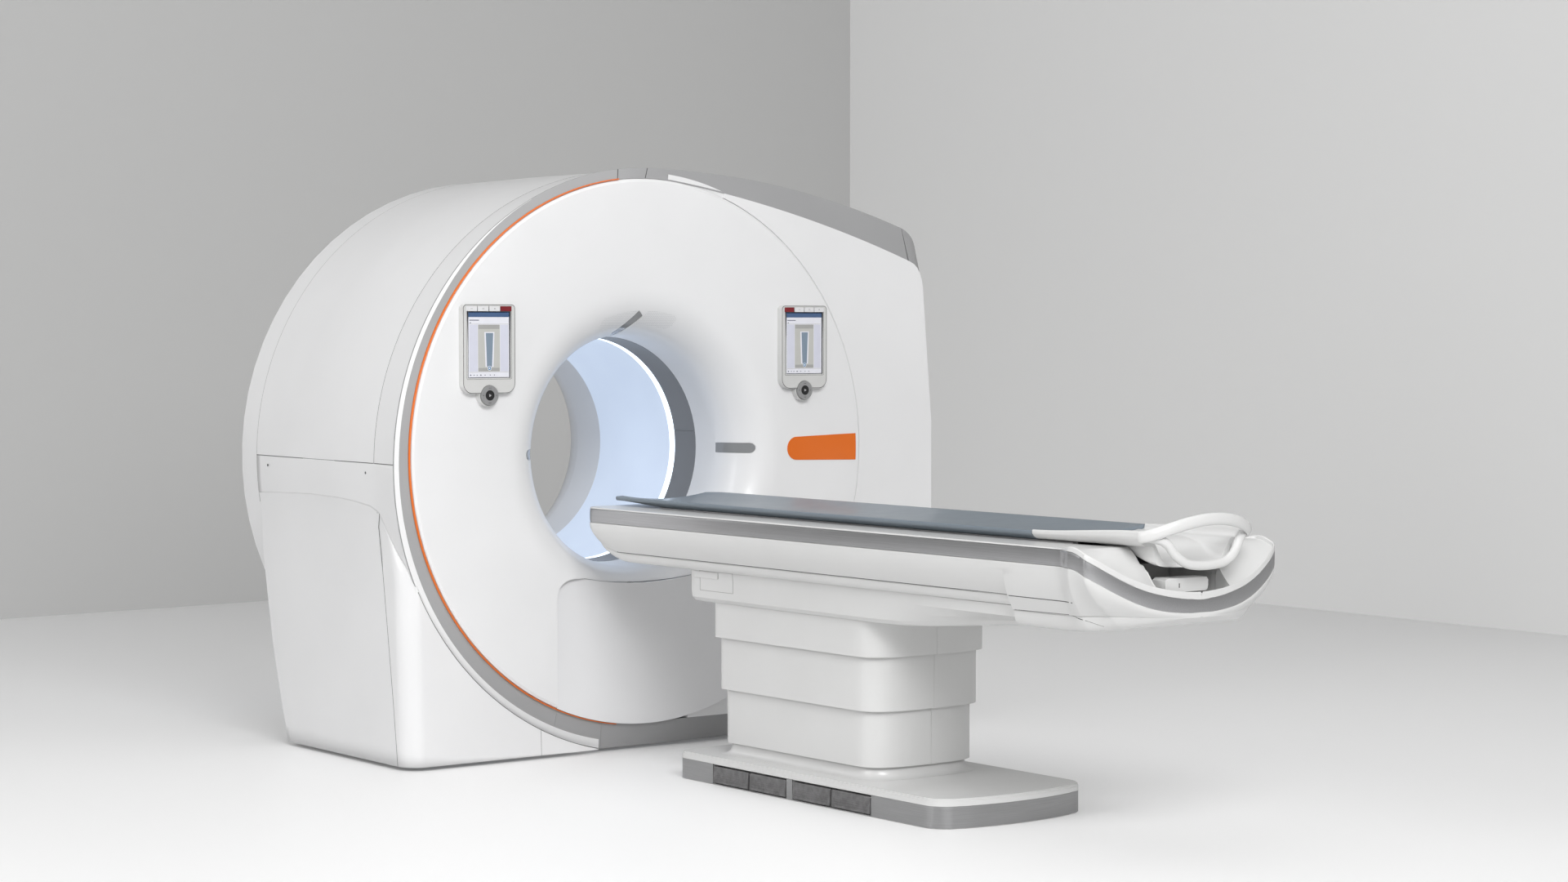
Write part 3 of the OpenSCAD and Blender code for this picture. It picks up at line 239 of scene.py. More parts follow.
WHITE = plastic("white_shell", (0.80, 0.80, 0.805), 0.32)
WHITE_GLOSS = plastic("white_gloss", (0.80, 0.80, 0.81), 0.16, coat=0.6)
WHITE_TABLE = plastic("white_table", (0.66, 0.66, 0.655), 0.30)
SILVER = plastic("silver_band", (0.34, 0.34, 0.345), 0.34, 0.01, coat=0.35)
BRUSHED = metal("brushed_rail", (0.50, 0.50, 0.51), 0.30, (300, 3, 900))
BASE_STEEL = metal("brushed_base", (0.40, 0.40, 0.405), 0.32, (6, 6, 900))
ORANGE = plastic("orange", (0.74, 0.15, 0.008), 0.45, 0.01, 0.08)
TOP_BLUE = plastic("table_blue", (0.19, 0.225, 0.26), 0.42, 0.008, 0.15, 0.00008, 700)
LINER = glowing("liner_glow", (0.45, 0.47, 0.50), (0.58, 0.70, 0.90), 0.58)
LIGHT = glowing("light_guide", (0.9, 0.95, 1), (0.75, 0.86, 1.0), 1.6)
RING_GREY = plastic("ring_grey", (0.22, 0.225, 0.235), 0.42, 0.01, 0.1)
WINDOW = plastic("window_smoke", (0.24, 0.245, 0.25), 0.16, 0.005, 0.6)
GRILLE = perforated("grille", (0.80, 0.80, 0.805), (0.62, 0.62, 0.63))
PEDAL = textured_rubber("pedal_rubber", (0.13, 0.128, 0.13))
BEZEL = plastic("bezel", (0.62, 0.62, 0.61), 0.28, 0.01, 0.4)
BEZEL_FACE = plastic("bezel_face", (0.74, 0.75, 0.77), 0.25, 0.008, 0.4)
KEY = plastic("key_white", (0.72, 0.72, 0.73), 0.4)
KEY_RED = plastic("key_red", (0.19, 0.008, 0.014), 0.3, 0.004)
STICK = metal("stick_ring", (0.40, 0.40, 0.405), 0.38, (500, 500, 20), 0.6)
BUTTON = plastic("button_black", (0.006, 0.006, 0.007), 0.18, 0.002, 0.6)
FRAME_PAINT = plastic("frame_enamel", (0.30, 0.31, 0.33), 0.45, 0.02)
MACHINED = metal("machined", (0.52, 0.52, 0.53), 0.3, (700, 700, 30))
BRASS = metal("slip_brass", (0.62, 0.42, 0.18), 0.28, (500, 30, 500))
RUBBER = plastic("pad_rubber", (0.02, 0.02, 0.02), 0.7, 0.004, 0.0)
# Dark colour of the joint lines, also used for the painted shade line round the panel housings
JOINT_AND_SHADE_DARK = plastic("joint_and_shade_dark", (0.10, 0.10, 0.10), 0.7, 0.01, 0.0)
SEAM_SOFT = plastic("seam_soft", (0.36, 0.36, 0.355), 0.7, 0.01, 0.0)

LOOKS = {
    WHITE: ["front_cover", "right_front_panel", "ring_strip", "upper_left_cover", "lower_left_cover",
            "leg_front_cover", "right_cover", "rear_cover"],
    WHITE_GLOSS: ["lower_front_panel"],
    WHITE_TABLE: ["table_base", "column_skirt", "lower_sleeve", "middle_sleeve", "upper_sleeve",
                  "column_head", "housing_panels", "cradle", "carriage", "bow_handle"],
    SILVER: ["trim_band"],
    ORANGE: ["accent_ring", "side_tab"],
    BRUSHED: ["rail_band", "guide_rails"],
    BASE_STEEL: ["base_band"],
    TOP_BLUE: ["tabletop"],
    LINER: ["tunnel_liner"],
    LIGHT: ["light_ring"],
    RING_GREY: ["bore_ring"],
    WINDOW: ["laser_windows"],
    GRILLE: ["speaker_grille"],
    PEDAL: ["pedal_1", "pedal_2", "pedal_3", "pedal_4"],
    BEZEL: ["panel_housings"],
    BEZEL_FACE: ["screens"],
    KEY: ["left_key_1", "left_key_2", "left_key_3", "right_key_1", "right_key_2", "right_key_3"],
    KEY_RED: ["left_stop_key", "right_stop_key"],
    STICK: ["left_joystick", "right_joystick"],
    BUTTON: ["left_button", "right_button"],
    FRAME_PAINT: ["gantry_frame", "rotor_drum", "xray_tubes", "detectors", "hv_generators"],
    MACHINED: ["main_bearing", "pedal_pins", "lift_mast", "lift_stage"],
    BRASS: ["slip_ring"],
    RUBBER: ["levelling_feet"],
}


# ---------------------------------------------------------------- CAD nodes
def smooth_group():
    """Geometry nodes that weld a CAD mesh and shade it smooth up to a crease angle."""
    g = bpy.data.node_groups.new("crease_smooth", "GeometryNodeTree")
    g.interface.new_socket("Geometry", in_out="INPUT", socket_type="NodeSocketGeometry")
    g.interface.new_socket("Geometry", in_out="OUTPUT", socket_type="NodeSocketGeometry")
    n = g.nodes
    start, end = n.new("NodeGroupInput"), n.new("NodeGroupOutput")
    weld = n.new("GeometryNodeMergeByDistance")
    weld.inputs["Distance"].default_value = 0.00002
    soft = n.new("GeometryNodeSetShadeSmooth")
    soft.domain = "FACE"
    soft.inputs["Shade Smooth"].default_value = True
    crease = n.new("GeometryNodeSetShadeSmooth")
    crease.domain = "EDGE"
    crease.inputs["Shade Smooth"].default_value = False
    angle = n.new("GeometryNodeInputMeshEdgeAngle")
    test = n.new("FunctionNodeCompare")
    test.data_type = "FLOAT"
    test.operation = "GREATER_THAN"
    test.inputs[1].default_value = CAD_CREASE
    link = g.links.new
    link(start.outputs[0], weld.inputs["Geometry"])
    link(weld.outputs["Geometry"], soft.inputs["Geometry"])
    link(soft.outputs["Geometry"], crease.inputs["Geometry"])
    link(angle.outputs["Unsigned Angle"], test.inputs[0])
    link(test.outputs["Result"], crease.inputs["Selection"])
    link(crease.outputs["Geometry"], end.inputs[0])
    return g


SMOOTH = smooth_group()
EDGE_R = 0.6  # where BEVELS says nothing else
BEVELS = {"table_base": 2.0, "panel_housings": 2.5, "left_joystick": 2.0, "right_joystick": 2.0,
          "lower_front_panel": 3.0, "side_tab": 0.8, "base_band": 0.3, "accent_ring": 0.5, "bore_ring": 1.0}


def round_edges(obj, width):
    """Small radius on the sharp edges."""
    bev = obj.modifiers.new("edge", "BEVEL")
    bev.width = width * MM
    bev.segments = 3
    bev.limit_method = "ANGLE"
    bev.angle_limit = BEVEL_FROM
    bev.harden_normals = True


def dress(obj, mat, bevel):
    """Material, crease shading and a small edge radius on a CAD node."""
    me = obj.data
    me.materials.clear()
    me.materials.append(mat)
    if "custom_normal" in me.attributes:
        me.attributes.remove(me.attributes["custom_normal"])
    mod = obj.modifiers.new("crease", "NODES")
    mod.node_group = SMOOTH
    if bevel:
        round_edges(obj, bevel)


for look, names in LOOKS.items():
    for name in names:
        dress(nodes[name], look, BEVELS.get(name, EDGE_R))


# ---------------------------------------------------------------- mesh making
def solid(name, verts, faces, mat, body, cad=(), crease=32, bevel=0.0):
    """A modelled piece that stands for CAD nodes and rides on a body."""
    me = bpy.data.meshes.new(name)
    me.from_pydata([tuple(v) for v in verts], [], faces)
    bm = bmesh.new()
    bm.from_mesh(me)
    bmesh.ops.remove_doubles(bm, verts=bm.verts, dist=0.00001)
    bmesh.ops.recalc_face_normals(bm, faces=bm.faces)
    bm.to_mesh(me)
    bm.free()
    me.shade_smooth()
    me.set_sharp_from_angle(angle=math.radians(crease))
    me.materials.append(mat)
    obj = bpy.data.objects.new(name, me)
    scene.collection.objects.link(obj)
    if bevel:
        round_edges(obj, bevel)
    if cad:
        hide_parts(*cad)
    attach(obj, body)
    return obj


def loft(rings, closed=True, caps=True):
    """Vertices and faces of a skin through rings of equally many points."""
    n = len(rings[0])
    verts = [p for r in rings for p in r]
    faces = []
    for j in range(len(rings) - 1):
        for i in range(n if closed else n - 1):
            a, b = j * n + i, j * n + (i + 1) % n
            faces.append((a, b, b + n, a + n))
    if caps:
        faces.append(tuple(range(n))[::-1])
        faces.append(tuple((len(rings) - 1) * n + i for i in range(n)))
    return verts, faces


def tube(points, r, n=16, tall=None):
    """Tube through points, of half width r and half height tall (or round)."""
    tall = tall or r
    rings = []
    for i, p in enumerate(points):
        d = (points[min(i + 1, len(points) - 1)] - points[max(i - 1, 0)]).normalized()
        s = d.cross(Vector((0, 0, 1))).normalized()
        u = s.cross(d)
        angles = [2 * math.pi * k / n for k in range(n)]
        rings.append([p + MM * (r * math.cos(a) * s + tall * math.sin(a) * u) for a in angles])
    return loft(rings)


# ---------------------------------------------------------------- cradle
def cradle_w(y):
    """Half width of the cradle at a distance y in front of the front cover."""
    if y < HEAD_GAP + HEAD_ROUND:
        u = (HEAD_GAP + HEAD_ROUND - y) / HEAD_ROUND
        return CRADLE_HW - HEAD_ROUND + HEAD_ROUND * math.sqrt(max(0, 1 - u ** 2))
    w = CRADLE_HW + FOOT_FLARE * ease((y - DIP_Y) / 70)
    u = (y - (FOOT_END - FOOT_ROUND)) / FOOT_ROUND
    return w * max(0.0, 1 - u ** FOOT_ALONG) ** (1 / FOOT_ACROSS) if u > 0 else w


def foot_y(x):
    """Distance at which the rounded foot end is x wide to a side."""
    u = abs(x) / (CRADLE_HW + FOOT_FLARE)
    return FOOT_END - FOOT_ROUND + FOOT_ROUND * (1 - u ** FOOT_ACROSS) ** (1 / FOOT_ALONG)


def foot_rim(x, y):
    """Height of the rim where it sinks round the foot end."""
    return RIM_H - (DIP_DEEP - DIP_RISE * x * x) * ease((y - FOOT_END + 140) / 130)


def rim_z(y):
    """Height of the rim at the cradle's side."""
    return foot_rim(cradle_w(y), y)


def floor_z(y):
    """Height of the cradle's bottom."""
    if y < HEAD_GAP + HEAD_RUN:
        u = (HEAD_GAP + HEAD_RUN - y) / (HEAD_RUN + 0.5)
        return RIM_H - BODY_DROP + HEAD_RISE * (1 - math.sqrt(max(0, 1 - u ** 2)))
    if y < BELLY_Y:
        return RIM_H - BODY_DROP
    return mix(RIM_H - 232, RIM_H - 190, ((y - BELLY_Y) / (FOOT_END - BELLY_Y)) ** 5)


def cradle_side(y):
    """Outer half section from the rim's inner edge to the bottom, as (x, z)."""
    w, z, b = cradle_w(y), rim_z(y), floor_z(y)
    k = w / CRADLE_HW
    top = z - RAIL_H - 1
    seam_z = mix(top, b, 0.745)
    tuck = 90 * k * ease((y - 2440) / 170)
    lip = LIP * ease((y - DIP_Y) / 90)
    side = [(w - DECK_EDGE, z), (w - 7.5, z + 0.8 * lip), (w - 5, z + lip), (w - 2.4, z + lip - 0.6),
            (w - 0.8, z + lip - 2.6), (w, z - 4), (w - 4, z - 5), (w - 4, z - RAIL_H), (w + 0.5, top)]
    side += bez((w + 1, top - 2), (w + 3.5 * k, mix(top, b, 0.38)), (w - 36 * k, seam_z), 14)
    side += [(w - 39 * k, seam_z - 0.6), (w - 41 * k, seam_z - 2.2), (w - 40 * k, seam_z - 3.6)]
    side += bez((w - 40.5 * k, mix(top, b, 0.79)), (w - 46 * k, mix(top, b, 0.99)), (w - 66 * k, b), 8)
    return [(x - tuck * (max(0.0, top - zz) / max(1.0, top - b)) ** 1.3, zz) for x, zz in side]


def chan_w(y):
    """Half width of the channel down the middle, or 0 where the deck is plain."""
    if y < CHAN_HEAD or y > CHAN_FOOT:
        return 0
    if y < DIP_Y - 20:
        return CHAN_HW
    if y < DIP_Y + 60:
        return mix(CHAN_HW, FOOT_CHAN_HW, (y - DIP_Y + 20) / 80)
    return FOOT_CHAN_HW if y < CHAN_FOOT - 60 else POCKET_HW + 1


def cradle_ring(y):
    """Closed section of the cradle: bottom, sides, deck, channel and pocket."""
    side = cradle_side(y)
    c = chan_w(y)
    w = cradle_w(y) - DECK_EDGE
    cw = min(c or CHAN_HW, 0.8 * w)
    z = foot_rim(cw, y)
    deep = min(z, CHAN_Z) if c else foot_rim(0.7 * cw, y)
    pocket = POCKET_Z if POCKET_Y < y < CHAN_FOOT else deep if c else foot_rim(0, y)
    deck = [(x, foot_rim(x, y)) for x in (mix(cw + 4, w, t) for t in (0.75, 0.5, 0.25, 0))]
    deck += [(cw + 1, z - (1 if c else 0)), (cw, z - (4 if c and z - deep > 5 else 0)), (cw, deep),
             (min(POCKET_HW, 0.98 * cw), deep), (min(POCKET_HW, 0.98 * cw), pocket), (0.5 * cw, pocket)]
    half = deck[::-1] + side
    return [pt(x, -y, zz) for x, zz in half] + [pt(-x, -y, zz) for x, zz in half[::-1]]


def stations():
    """Places of the cradle's sections, closer together where it curves."""
    ys = [HEAD_GAP + HEAD_ROUND * (1 - math.cos(math.radians(6 * i))) + 0.01 for i in range(16)]
    ys += [HEAD_GAP + HEAD_ROUND + 14 * i for i in range(1, 18)]
    ys += [CHAN_HEAD - 0.2, CHAN_HEAD, 400, 600, 900, 1300, 1700, 2000, 2100, BELLY_Y - 1, BELLY_Y + 1,
           2250, 2300, 2350, POCKET_Y - 0.1, POCKET_Y + 0.1, 2400, DIP_Y - 20, DIP_Y, DIP_Y + 20,
           DIP_Y + 40, DIP_Y + 60, CHAN_FOOT - 0.1, CHAN_FOOT + 0.1, FOOT_END - 0.25, FOOT_END - 0.08]
    for i in range(1, 61):
        u = math.sin(math.radians(90 * i / 60)) * 0.5 + 0.5 * i / 60
        ys.append(mix(DIP_Y + 60, FOOT_END - 0.5, u))
    return sorted(set(ys))


body_ys = stations()
v, f = loft([cradle_ring(y) for y in body_ys])
solid("cradle_shell", v, f, WHITE_TABLE, "lift", ["cradle"], crease=30)

# Steel band in its groove: one strip down a side, round the foot end and back up the other
BAND_SEC = [(-1.2, -5.3), (-0.5, -6), (0.2, -12), (0.6, -RAIL_H / 2), (0.2, -RAIL_H + 7), (-0.5, -RAIL_H + 1),
            (-1.2, -RAIL_H + 0.4), (-3.8, -RAIL_H + 0.4), (-3.8, -5.3)]
FOOT_TURN = 280.0
line = [(cradle_w(y), y) for y in body_ys if y < foot_y(FOOT_TURN)]
line += [(x, foot_y(x)) for x in (FOOT_TURN * math.cos(math.radians(90 * i / 40)) for i in range(41))]
line += [(-x, y) for x, y in line[-2::-1]]
rings = []
for i, (x, y) in enumerate(line):
    (xa, ya), (xb, yb) = line[max(i - 1, 0)], line[min(i + 1, len(line) - 1)]
    size = math.hypot(xb - xa, yb - ya)
    nx, ny = (yb - ya) / size, -(xb - xa) / size
    z = foot_rim(x, y)
    rings.append([pt(x + o * nx, -(y + o * ny), z + dz) for o, dz in BAND_SEC])
v, f = loft(rings)
solid("rail_band_strip", v, f, BRUSHED, "lift", ["rail_band"], crease=40)

# ---------------------------------------------------------------- tabletop
TOP_HW, TOP_Z0, TOP_HEAD, TOP_FOOT = 222.0, RIM_H + 3, 92.0, 2192.0
TOP_ROUND, TOP_T = 50.0, 12.0


def top_ring(y):
    """Closed section of the concave board at a distance y in front of the front cover."""
    dy = TOP_HEAD + TOP_ROUND - y
    w = TOP_HW
    if dy > 0:
        w = TOP_HW - TOP_ROUND + TOP_ROUND * math.sqrt(max(0.0004, 1 - (dy / TOP_ROUND) ** 2))
    thin = ease((TOP_HEAD + 300 - y) / 320)
    k = w / TOP_HW
    upper = [(w * i / 12, TOP_Z0 + TOP_T + 16 * (i / 12) ** 2) for i in range(12)]
    edge_z = TOP_Z0 + 28
    edge = [(w - 3, edge_z - 0.6), (w - 0.8, edge_z - 2), (w, edge_z - 5), (w - 0.6, edge_z - 10),
            (w - 3, edge_z - 13)]
    lower = [(w - 12, TOP_Z0 + 11), (CHAN_HW * k + 8, TOP_Z0 + 2.4), (CHAN_HW * k - 4, TOP_Z0),
             (100, TOP_Z0), (0, TOP_Z0)]
    lift = TOP_T * thin
    half = upper + edge + [(x, min(z + lift, TOP_Z0 + 11.5 + 15 * (x / w) ** 2)) for x, z in lower]
    return [pt(x, -y, z) for x, z in half] + [pt(-x, -y, z) for x, z in half[::-1]]


top_ys = [TOP_HEAD + TOP_ROUND * (1 - math.cos(math.radians(90 * i / 14))) + 0.05 for i in range(15)]
top_ys += [160, 200, 260, 330, 400, 600, 1000, 1500, 2000, 2150, TOP_FOOT - 0.3]
v, f = loft([top_ring(y) for y in sorted(set(top_ys))])
solid("tabletop_board", v, f, TOP_BLUE, "table_top", ["tabletop"], crease=40)

# ---------------------------------------------------------------- carriage and bow handle
CAR_Y0, CAR_Y1 = 2194.0, 2600.0


def spline(points, per):
    """Smooth curve through points, with per steps between neighbours."""
    ext = [tuple(2 * a - b for a, b in zip(points[0], points[1]))] + list(points)
    ext.append(tuple(2 * a - b for a, b in zip(points[-1], points[-2])))
    out = []
    for i in range(1, len(ext) - 2):
        p0, p1, p2, p3 = ext[i - 1:i + 3]
        for k in range(per):
            t = k / per
            out.append(tuple(
                0.5 * (2 * b + (c - a) * t + (2 * a - 5 * b + 4 * c - d) * t * t
                       + (3 * b - a - 3 * c + d) * t ** 3)
                for a, b, c, d in zip(p0, p1, p2, p3)))
    out.append(tuple(points[-1]))
    return out


def car_half(y):
    """Outer and inner half sections of the carriage bowl, from the rim down to the middle."""
    t = (y - CAR_Y0) / (CAR_Y1 - CAR_Y0)
    u = ease((t - 0.35) / 0.65)
    top, w = mix(TOP_Z0 + 30, RIM_H + 50, ease(t)), mix(TOP_HW, 205, t)
    low, th = mix(TOP_Z0 + 1, RIM_H - 58, u), mix(8, 14, t)
    outer = [(w, top - 4), (w - 2, mix(top, TOP_Z0 + 8, 0.6)), (mix(w - 20, 180, u), TOP_Z0 + 4),
             (mix(w - 56, 150, u), TOP_Z0 + 0.9), (mix(w - 66, 140, u), mix(TOP_Z0 + 0.6, RIM_H - 24, u)),
             (mix(w - 80, 124, u), mix(TOP_Z0 + 0.3, low + 9, u)), (0, low)]
    inner = [(0, low + mix(10, 12, t)), (mix(w - 80, 100, u), mix(TOP_Z0 + 11, low + 17, u)),
             (mix(w - 50, 128, u), mix(TOP_Z0 + 12, RIM_H - 12, u)),
             (mix(w - 36, 146, u), mix(TOP_Z0 + 14, TOP_Z0 + 12, u)),
             (w - th - 6, mix(top, TOP_Z0 + 8, 0.7)), (w - th, top - 4)]
    lip = [(w - th * 0.85, top - 1), (w - th / 2, top), (w - th * 0.15, top - 1)]
    return spline(outer, 5), spline(inner, 5), lip


def car_ring(y):
    """Closed section of the carriage."""
    outer, inner, lip = car_half(y)
    half = outer[::-1] + lip[::-1] + inner[::-1]
    return [pt(x, -y, z) for x, z in half[:-1]] + [pt(-x, -y, z) for x, z in half[::-1][:-1]]


v, f = loft([car_ring(mix(CAR_Y0, CAR_Y1, i / 48)) for i in range(49)])
solid("carriage_bowl", v, f, WHITE_TABLE, "table_top", ["carriage"], crease=50)
GRIP_HW, GRIP_Z = 197.0, RIM_H + 33
BOW_REACH, BOW_RISE, BOW_HW, BOW_HH, BAR_R = 84, 46, 10, 17, 13
bow = [pt(GRIP_HW * math.cos(a), -CAR_Y1 - BOW_REACH * math.sin(a), GRIP_Z + BOW_RISE * math.sin(a) ** 2)
       for a in (math.pi * i / 60 for i in range(61))]
v, f = tube(bow, BOW_HW, 24, BOW_HH)
solid("bow_grip", v, f, WHITE_TABLE, "table_top", ["bow_handle"], crease=60)
BAR_HALF = [(GRIP_HW, -12, 0), (GRIP_HW - 6, 4, -1), (172, 22, -3.7), (150, 36, -10.7), (134, 43, -23),
            (122, 46.5, -39.4), (102, 50, -59), (72, 52, -74.6), (36, 53, -80.4), (0, 53.5, -82)]
bar = spline(BAR_HALF + [(-x, y, z) for x, y, z in BAR_HALF[-2::-1]], 4)
v, f = tube([pt(x, -CAR_Y1 - y, GRIP_Z + z) for x, y, z in bar if y > -8], BAR_R, 20)
solid("lower_grip", v, f, WHITE_TABLE, "table_top", crease=60)

# ---------------------------------------------------------------- panels
PANEL_X, PANEL_Z, PANEL_T = 651.0, 1374.0, 26.0
SCREEN_Z, SCREEN_W, SCREEN_H = PANEL_Z + 14, 161.0, 217.0
STICK_Z, STICK_Y = 1222.0, -PANEL_T - 4


def flat(name, colour, rough=0.25, glow=0.0):
    """Screen colour behind glass, with faint pixel unevenness."""
    mat, nt, b = new_material(name)
    lo = [c * 0.97 for c in colour]
    out = ramp(nt, noise(nt, 30.0, 2.0), lo, colour)
    nt.links.new(out, b.inputs["Base Color"])
    nt.links.new(out, b.inputs["Emission Color"])
    b.inputs["Emission Strength"].default_value = glow
    b.inputs["Roughness"].default_value = rough
    b.inputs["Coat Weight"].default_value = 0.5
    b.inputs["Coat Roughness"].default_value = 0.05
    return mat


INK = {
    "field": flat("screen_white", (0.74, 0.745, 0.80), glow=0.06),
    "head": flat("screen_blue", (0.05, 0.10, 0.21), glow=0.08),
    "side": flat("screen_lilac", (0.62, 0.63, 0.72), glow=0.06),
    "photo": flat("screen_picture", (0.50, 0.50, 0.475), glow=0.06),
    "shade": flat("screen_shade", (0.36, 0.36, 0.35), glow=0.06),
    "bar": flat("screen_bar", (0.20, 0.26, 0.33), glow=0.06),
    "ring": flat("screen_ring", (0.06, 0.20, 0.36), glow=0.2),
    "mark": flat("screen_mark", (0.10, 0.11, 0.16), glow=0.02),
    "edge": flat("screen_edge", (0.10, 0.12, 0.16)),
}
INK_NAMES = list(INK)


def disc(cx, cz, r, n=20):
    """Outline of a small round field."""
    angles = [2 * math.pi * i / n for i in range(n)]
    return [(cx + r * math.cos(a), cz + r * math.sin(a)) for a in angles]


def rect(x0, z0, x1, z1):
    """Outline of an upright field."""
    return [(x0, z0), (x1, z0), (x1, z1), (x0, z1)]


def screen_art():
    """Outlines on one screen as (ink, layer, points), in fractions of the screen from its lower left."""
    art = [("edge", 0, rect(0, 0, 1, 1)), ("field", 1, rect(0.008, 0.008, 0.975, 0.985)),
           ("head", 2, rect(0.008, 0.915, 0.975, 0.985)), ("side", 2, rect(0.03, 0.095, 0.225, 0.80)),
           ("side", 2, rect(0.765, 0.095, 0.95, 0.80)), ("photo", 2, rect(0.235, 0.095, 0.755, 0.80)),
           ("shade", 3, rect(0.245, 0.735, 0.745, 0.80)), ("shade", 3, rect(0.245, 0.098, 0.745, 0.15)),
           ("field", 4, [(0.41, 0.165), (0.60, 0.165), (0.625, 0.69), (0.385, 0.69)]),
           ("bar", 5, [(0.445, 0.17), (0.565, 0.17), (0.595, 0.675), (0.42, 0.675)]),
           ("field", 6, disc(0.505, 0.145, 0.048)), ("ring", 7, disc(0.505, 0.145, 0.038)),
           ("field", 8, disc(0.505, 0.145, 0.018)), ("mark", 2, rect(0.03, 0.862, 0.26, 0.874)),
           ("mark", 2, rect(0.04, 0.822, 0.07, 0.834)), ("shade", 2, rect(0.02, 0.808, 0.96, 0.812)),
           ("shade", 2, rect(0.02, 0.084, 0.96, 0.088))]
    for i, x in enumerate((0.06, 0.14, 0.21, 0.30, 0.40, 0.52, 0.62)):
        art.append(("mark", 2, disc(x, 0.042, 0.015 if i in (0, 3) else 0.011, 8)))
    return art


verts, faces, inks = [], [], []
aspect = SCREEN_W / SCREEN_H
for s in (-1, 1):
    for ink, layer, points in screen_art():
        n0 = len(verts)
        for fx, fz in points:
            if len(points) > 4:
                cx = sum(p[0] for p in points) / len(points)
                cz = sum(p[1] for p in points) / len(points)
                fz = cz + (fz - cz) * aspect
            verts.append(pt(s * PANEL_X + (fx - 0.5) * SCREEN_W, -PANEL_T + 0.5 - 0.04 * layer,
                            SCREEN_Z + (fz - 0.5) * SCREEN_H))
        faces.append(tuple(range(n0, len(verts))))
        inks.append(INK_NAMES.index(ink))
me = bpy.data.meshes.new("screen_pictures")
me.from_pydata([tuple(v) for v in verts], [], faces)
for mat in INK.values():
    me.materials.append(mat)
for face, ink in zip(me.polygons, inks):
    face.material_index = ink
obj = bpy.data.objects.new("screen_pictures", me)
scene.collection.objects.link(obj)
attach(obj, "stand")


def plates(name, outlines, mat, body, y, depth):
    """Thin raised plates on a face that looks to the front, from outlines in X and Z."""
    verts, faces = [], []
    for points in outlines:
        n0, n = len(verts), len(points)
        verts += [pt(x, y, z) for x, z in points] + [pt(x, y - depth, z) for x, z in points]
        faces.append(tuple(range(n0, n0 + n)))
        faces.append(tuple(range(n0 + n, n0 + 2 * n))[::-1])
        faces += [(n0 + i, n0 + (i + 1) % n, n0 + n + (i + 1) % n, n0 + n + i) for i in range(n)]
    return solid(name, verts, faces, mat, body)


MARK = plastic("print_grey", (0.10, 0.10, 0.105), 0.4, 0.01)
PALE_MARK = plastic("print_pale", (0.42, 0.42, 0.43), 0.35, 0.01)
for s, side in ((-1, "left"), (1, "right")):
    x = s * PANEL_X
    marks = [rect(x - 5, STICK_Z + 23.4, x + 5, STICK_Z + 25),
             rect(x - 5, STICK_Z - 25, x + 5, STICK_Z - 23.4), disc(x - 25, STICK_Z, 1.8, 12),
             [(x + 23.5, STICK_Z - 2.4), (x + 27, STICK_Z), (x + 23.5, STICK_Z + 2.4)]]
    plates(f"{side}_stick_marks", marks, MARK, f"{side}_stick_body", STICK_Y, 0.15)
    arrow = [(x - 3, STICK_Z - 5), (x + 5.5, STICK_Z), (x - 3, STICK_Z + 5)]
    plates(f"{side}_button_mark", [arrow], PALE_MARK, f"{side}_button_body", STICK_Y, 0.15)

KEY_W, KEY_TOP = 44.0, PANEL_Z + 146 - 6
for s, side in ((-1, "left"), (1, "right")):
    for k in (1, 2, 3):
        x = s * PANEL_X - 88 + KEY_W * (k - 1 if s < 0 else k) + 21
        z = KEY_TOP - 8.5
        marks = [[rect(x - 4, z - 0.8, x + 4, z + 0.8)],
                 [rect(x - 4, z + 1, x + 4, z + 2.4), rect(x - 4, z - 2.4, x + 4, z - 1)],
                 [disc(x, z, 2.6, 12)]][k - 1]
        plates(f"{side}_key_{k}_mark", marks, PALE_MARK, f"{side}_key_{k}_body",
               -PANEL_T - 1, 0.12)

# ---------------------------------------------------------------- lines of the joints, and painted shade lines
PROUD, SUNK = 0.25 * MM, 0.8 * MM


def ribbon(points, normals, width):
    """Thin strip laid over a joint, or along an edge as a painted shade line, a hair proud of the covers on
    both sides.
    """
    rings = []
    for i, p in enumerate(points):
        d = (points[min(i + 1, len(points) - 1)] - points[max(i - 1, 0)]).normalized()
        n = normals[i].normalized() if isinstance(normals, list) else normals
        s = d.cross(n).normalized() * width * MM / 2
        rings.append([p + s + PROUD * n, p - s + PROUD * n, p - s - SUNK * n, p + s - SUNK * n])
    return loft(rings)


def ribbon_piece(name, strips, mat, body="stand"):
    """One piece out of several ribbons."""
    verts, faces = [], []
    for v, f in strips:
        n0 = len(verts)
        verts += v
        faces += [tuple(n0 + i for i in q) for q in f]
    return solid(name, verts, faces, mat, body)


# ---------------------------------------------------------------- left side under the split line
def skin_r(y):
    """Radius of the drum's skin along its depth."""
    mid = (SEAM2_Y + SEAM1_Y) / 2
    if y < SEAM2_Y:
        return mix(DRUM_R - 1, SKIN_R, (y - STRIP_Y) / (SEAM2_Y - STRIP_Y))
    return mix(SKIN_R, SKIN_R + 1, (y - SEAM2_Y) / (mid - SEAM2_Y)) if y < mid else \
        mix(SKIN_R + 1, SKIN_R - 4, (y - mid) / (SEAM1_Y - mid))


def on_skin(y, z, proud=0.0):
    """Point of the drum's left flank at a depth and a height."""
    r = skin_r(y) + proud
    return pt(DRUM_C[0] - math.sqrt(max(0.0, r * r - (z - DRUM_C[1]) ** 2)), y, z)


def value_at(rows, v):
    """Value between the rows of (v, value)."""
    if v <= rows[0][0]:
        return rows[0][1]
    for (a, p), (b, q) in zip(rows, rows[1:]):
        if v <= b:
            return mix(p, q, (v - a) / (b - a))
    return rows[-1][1]


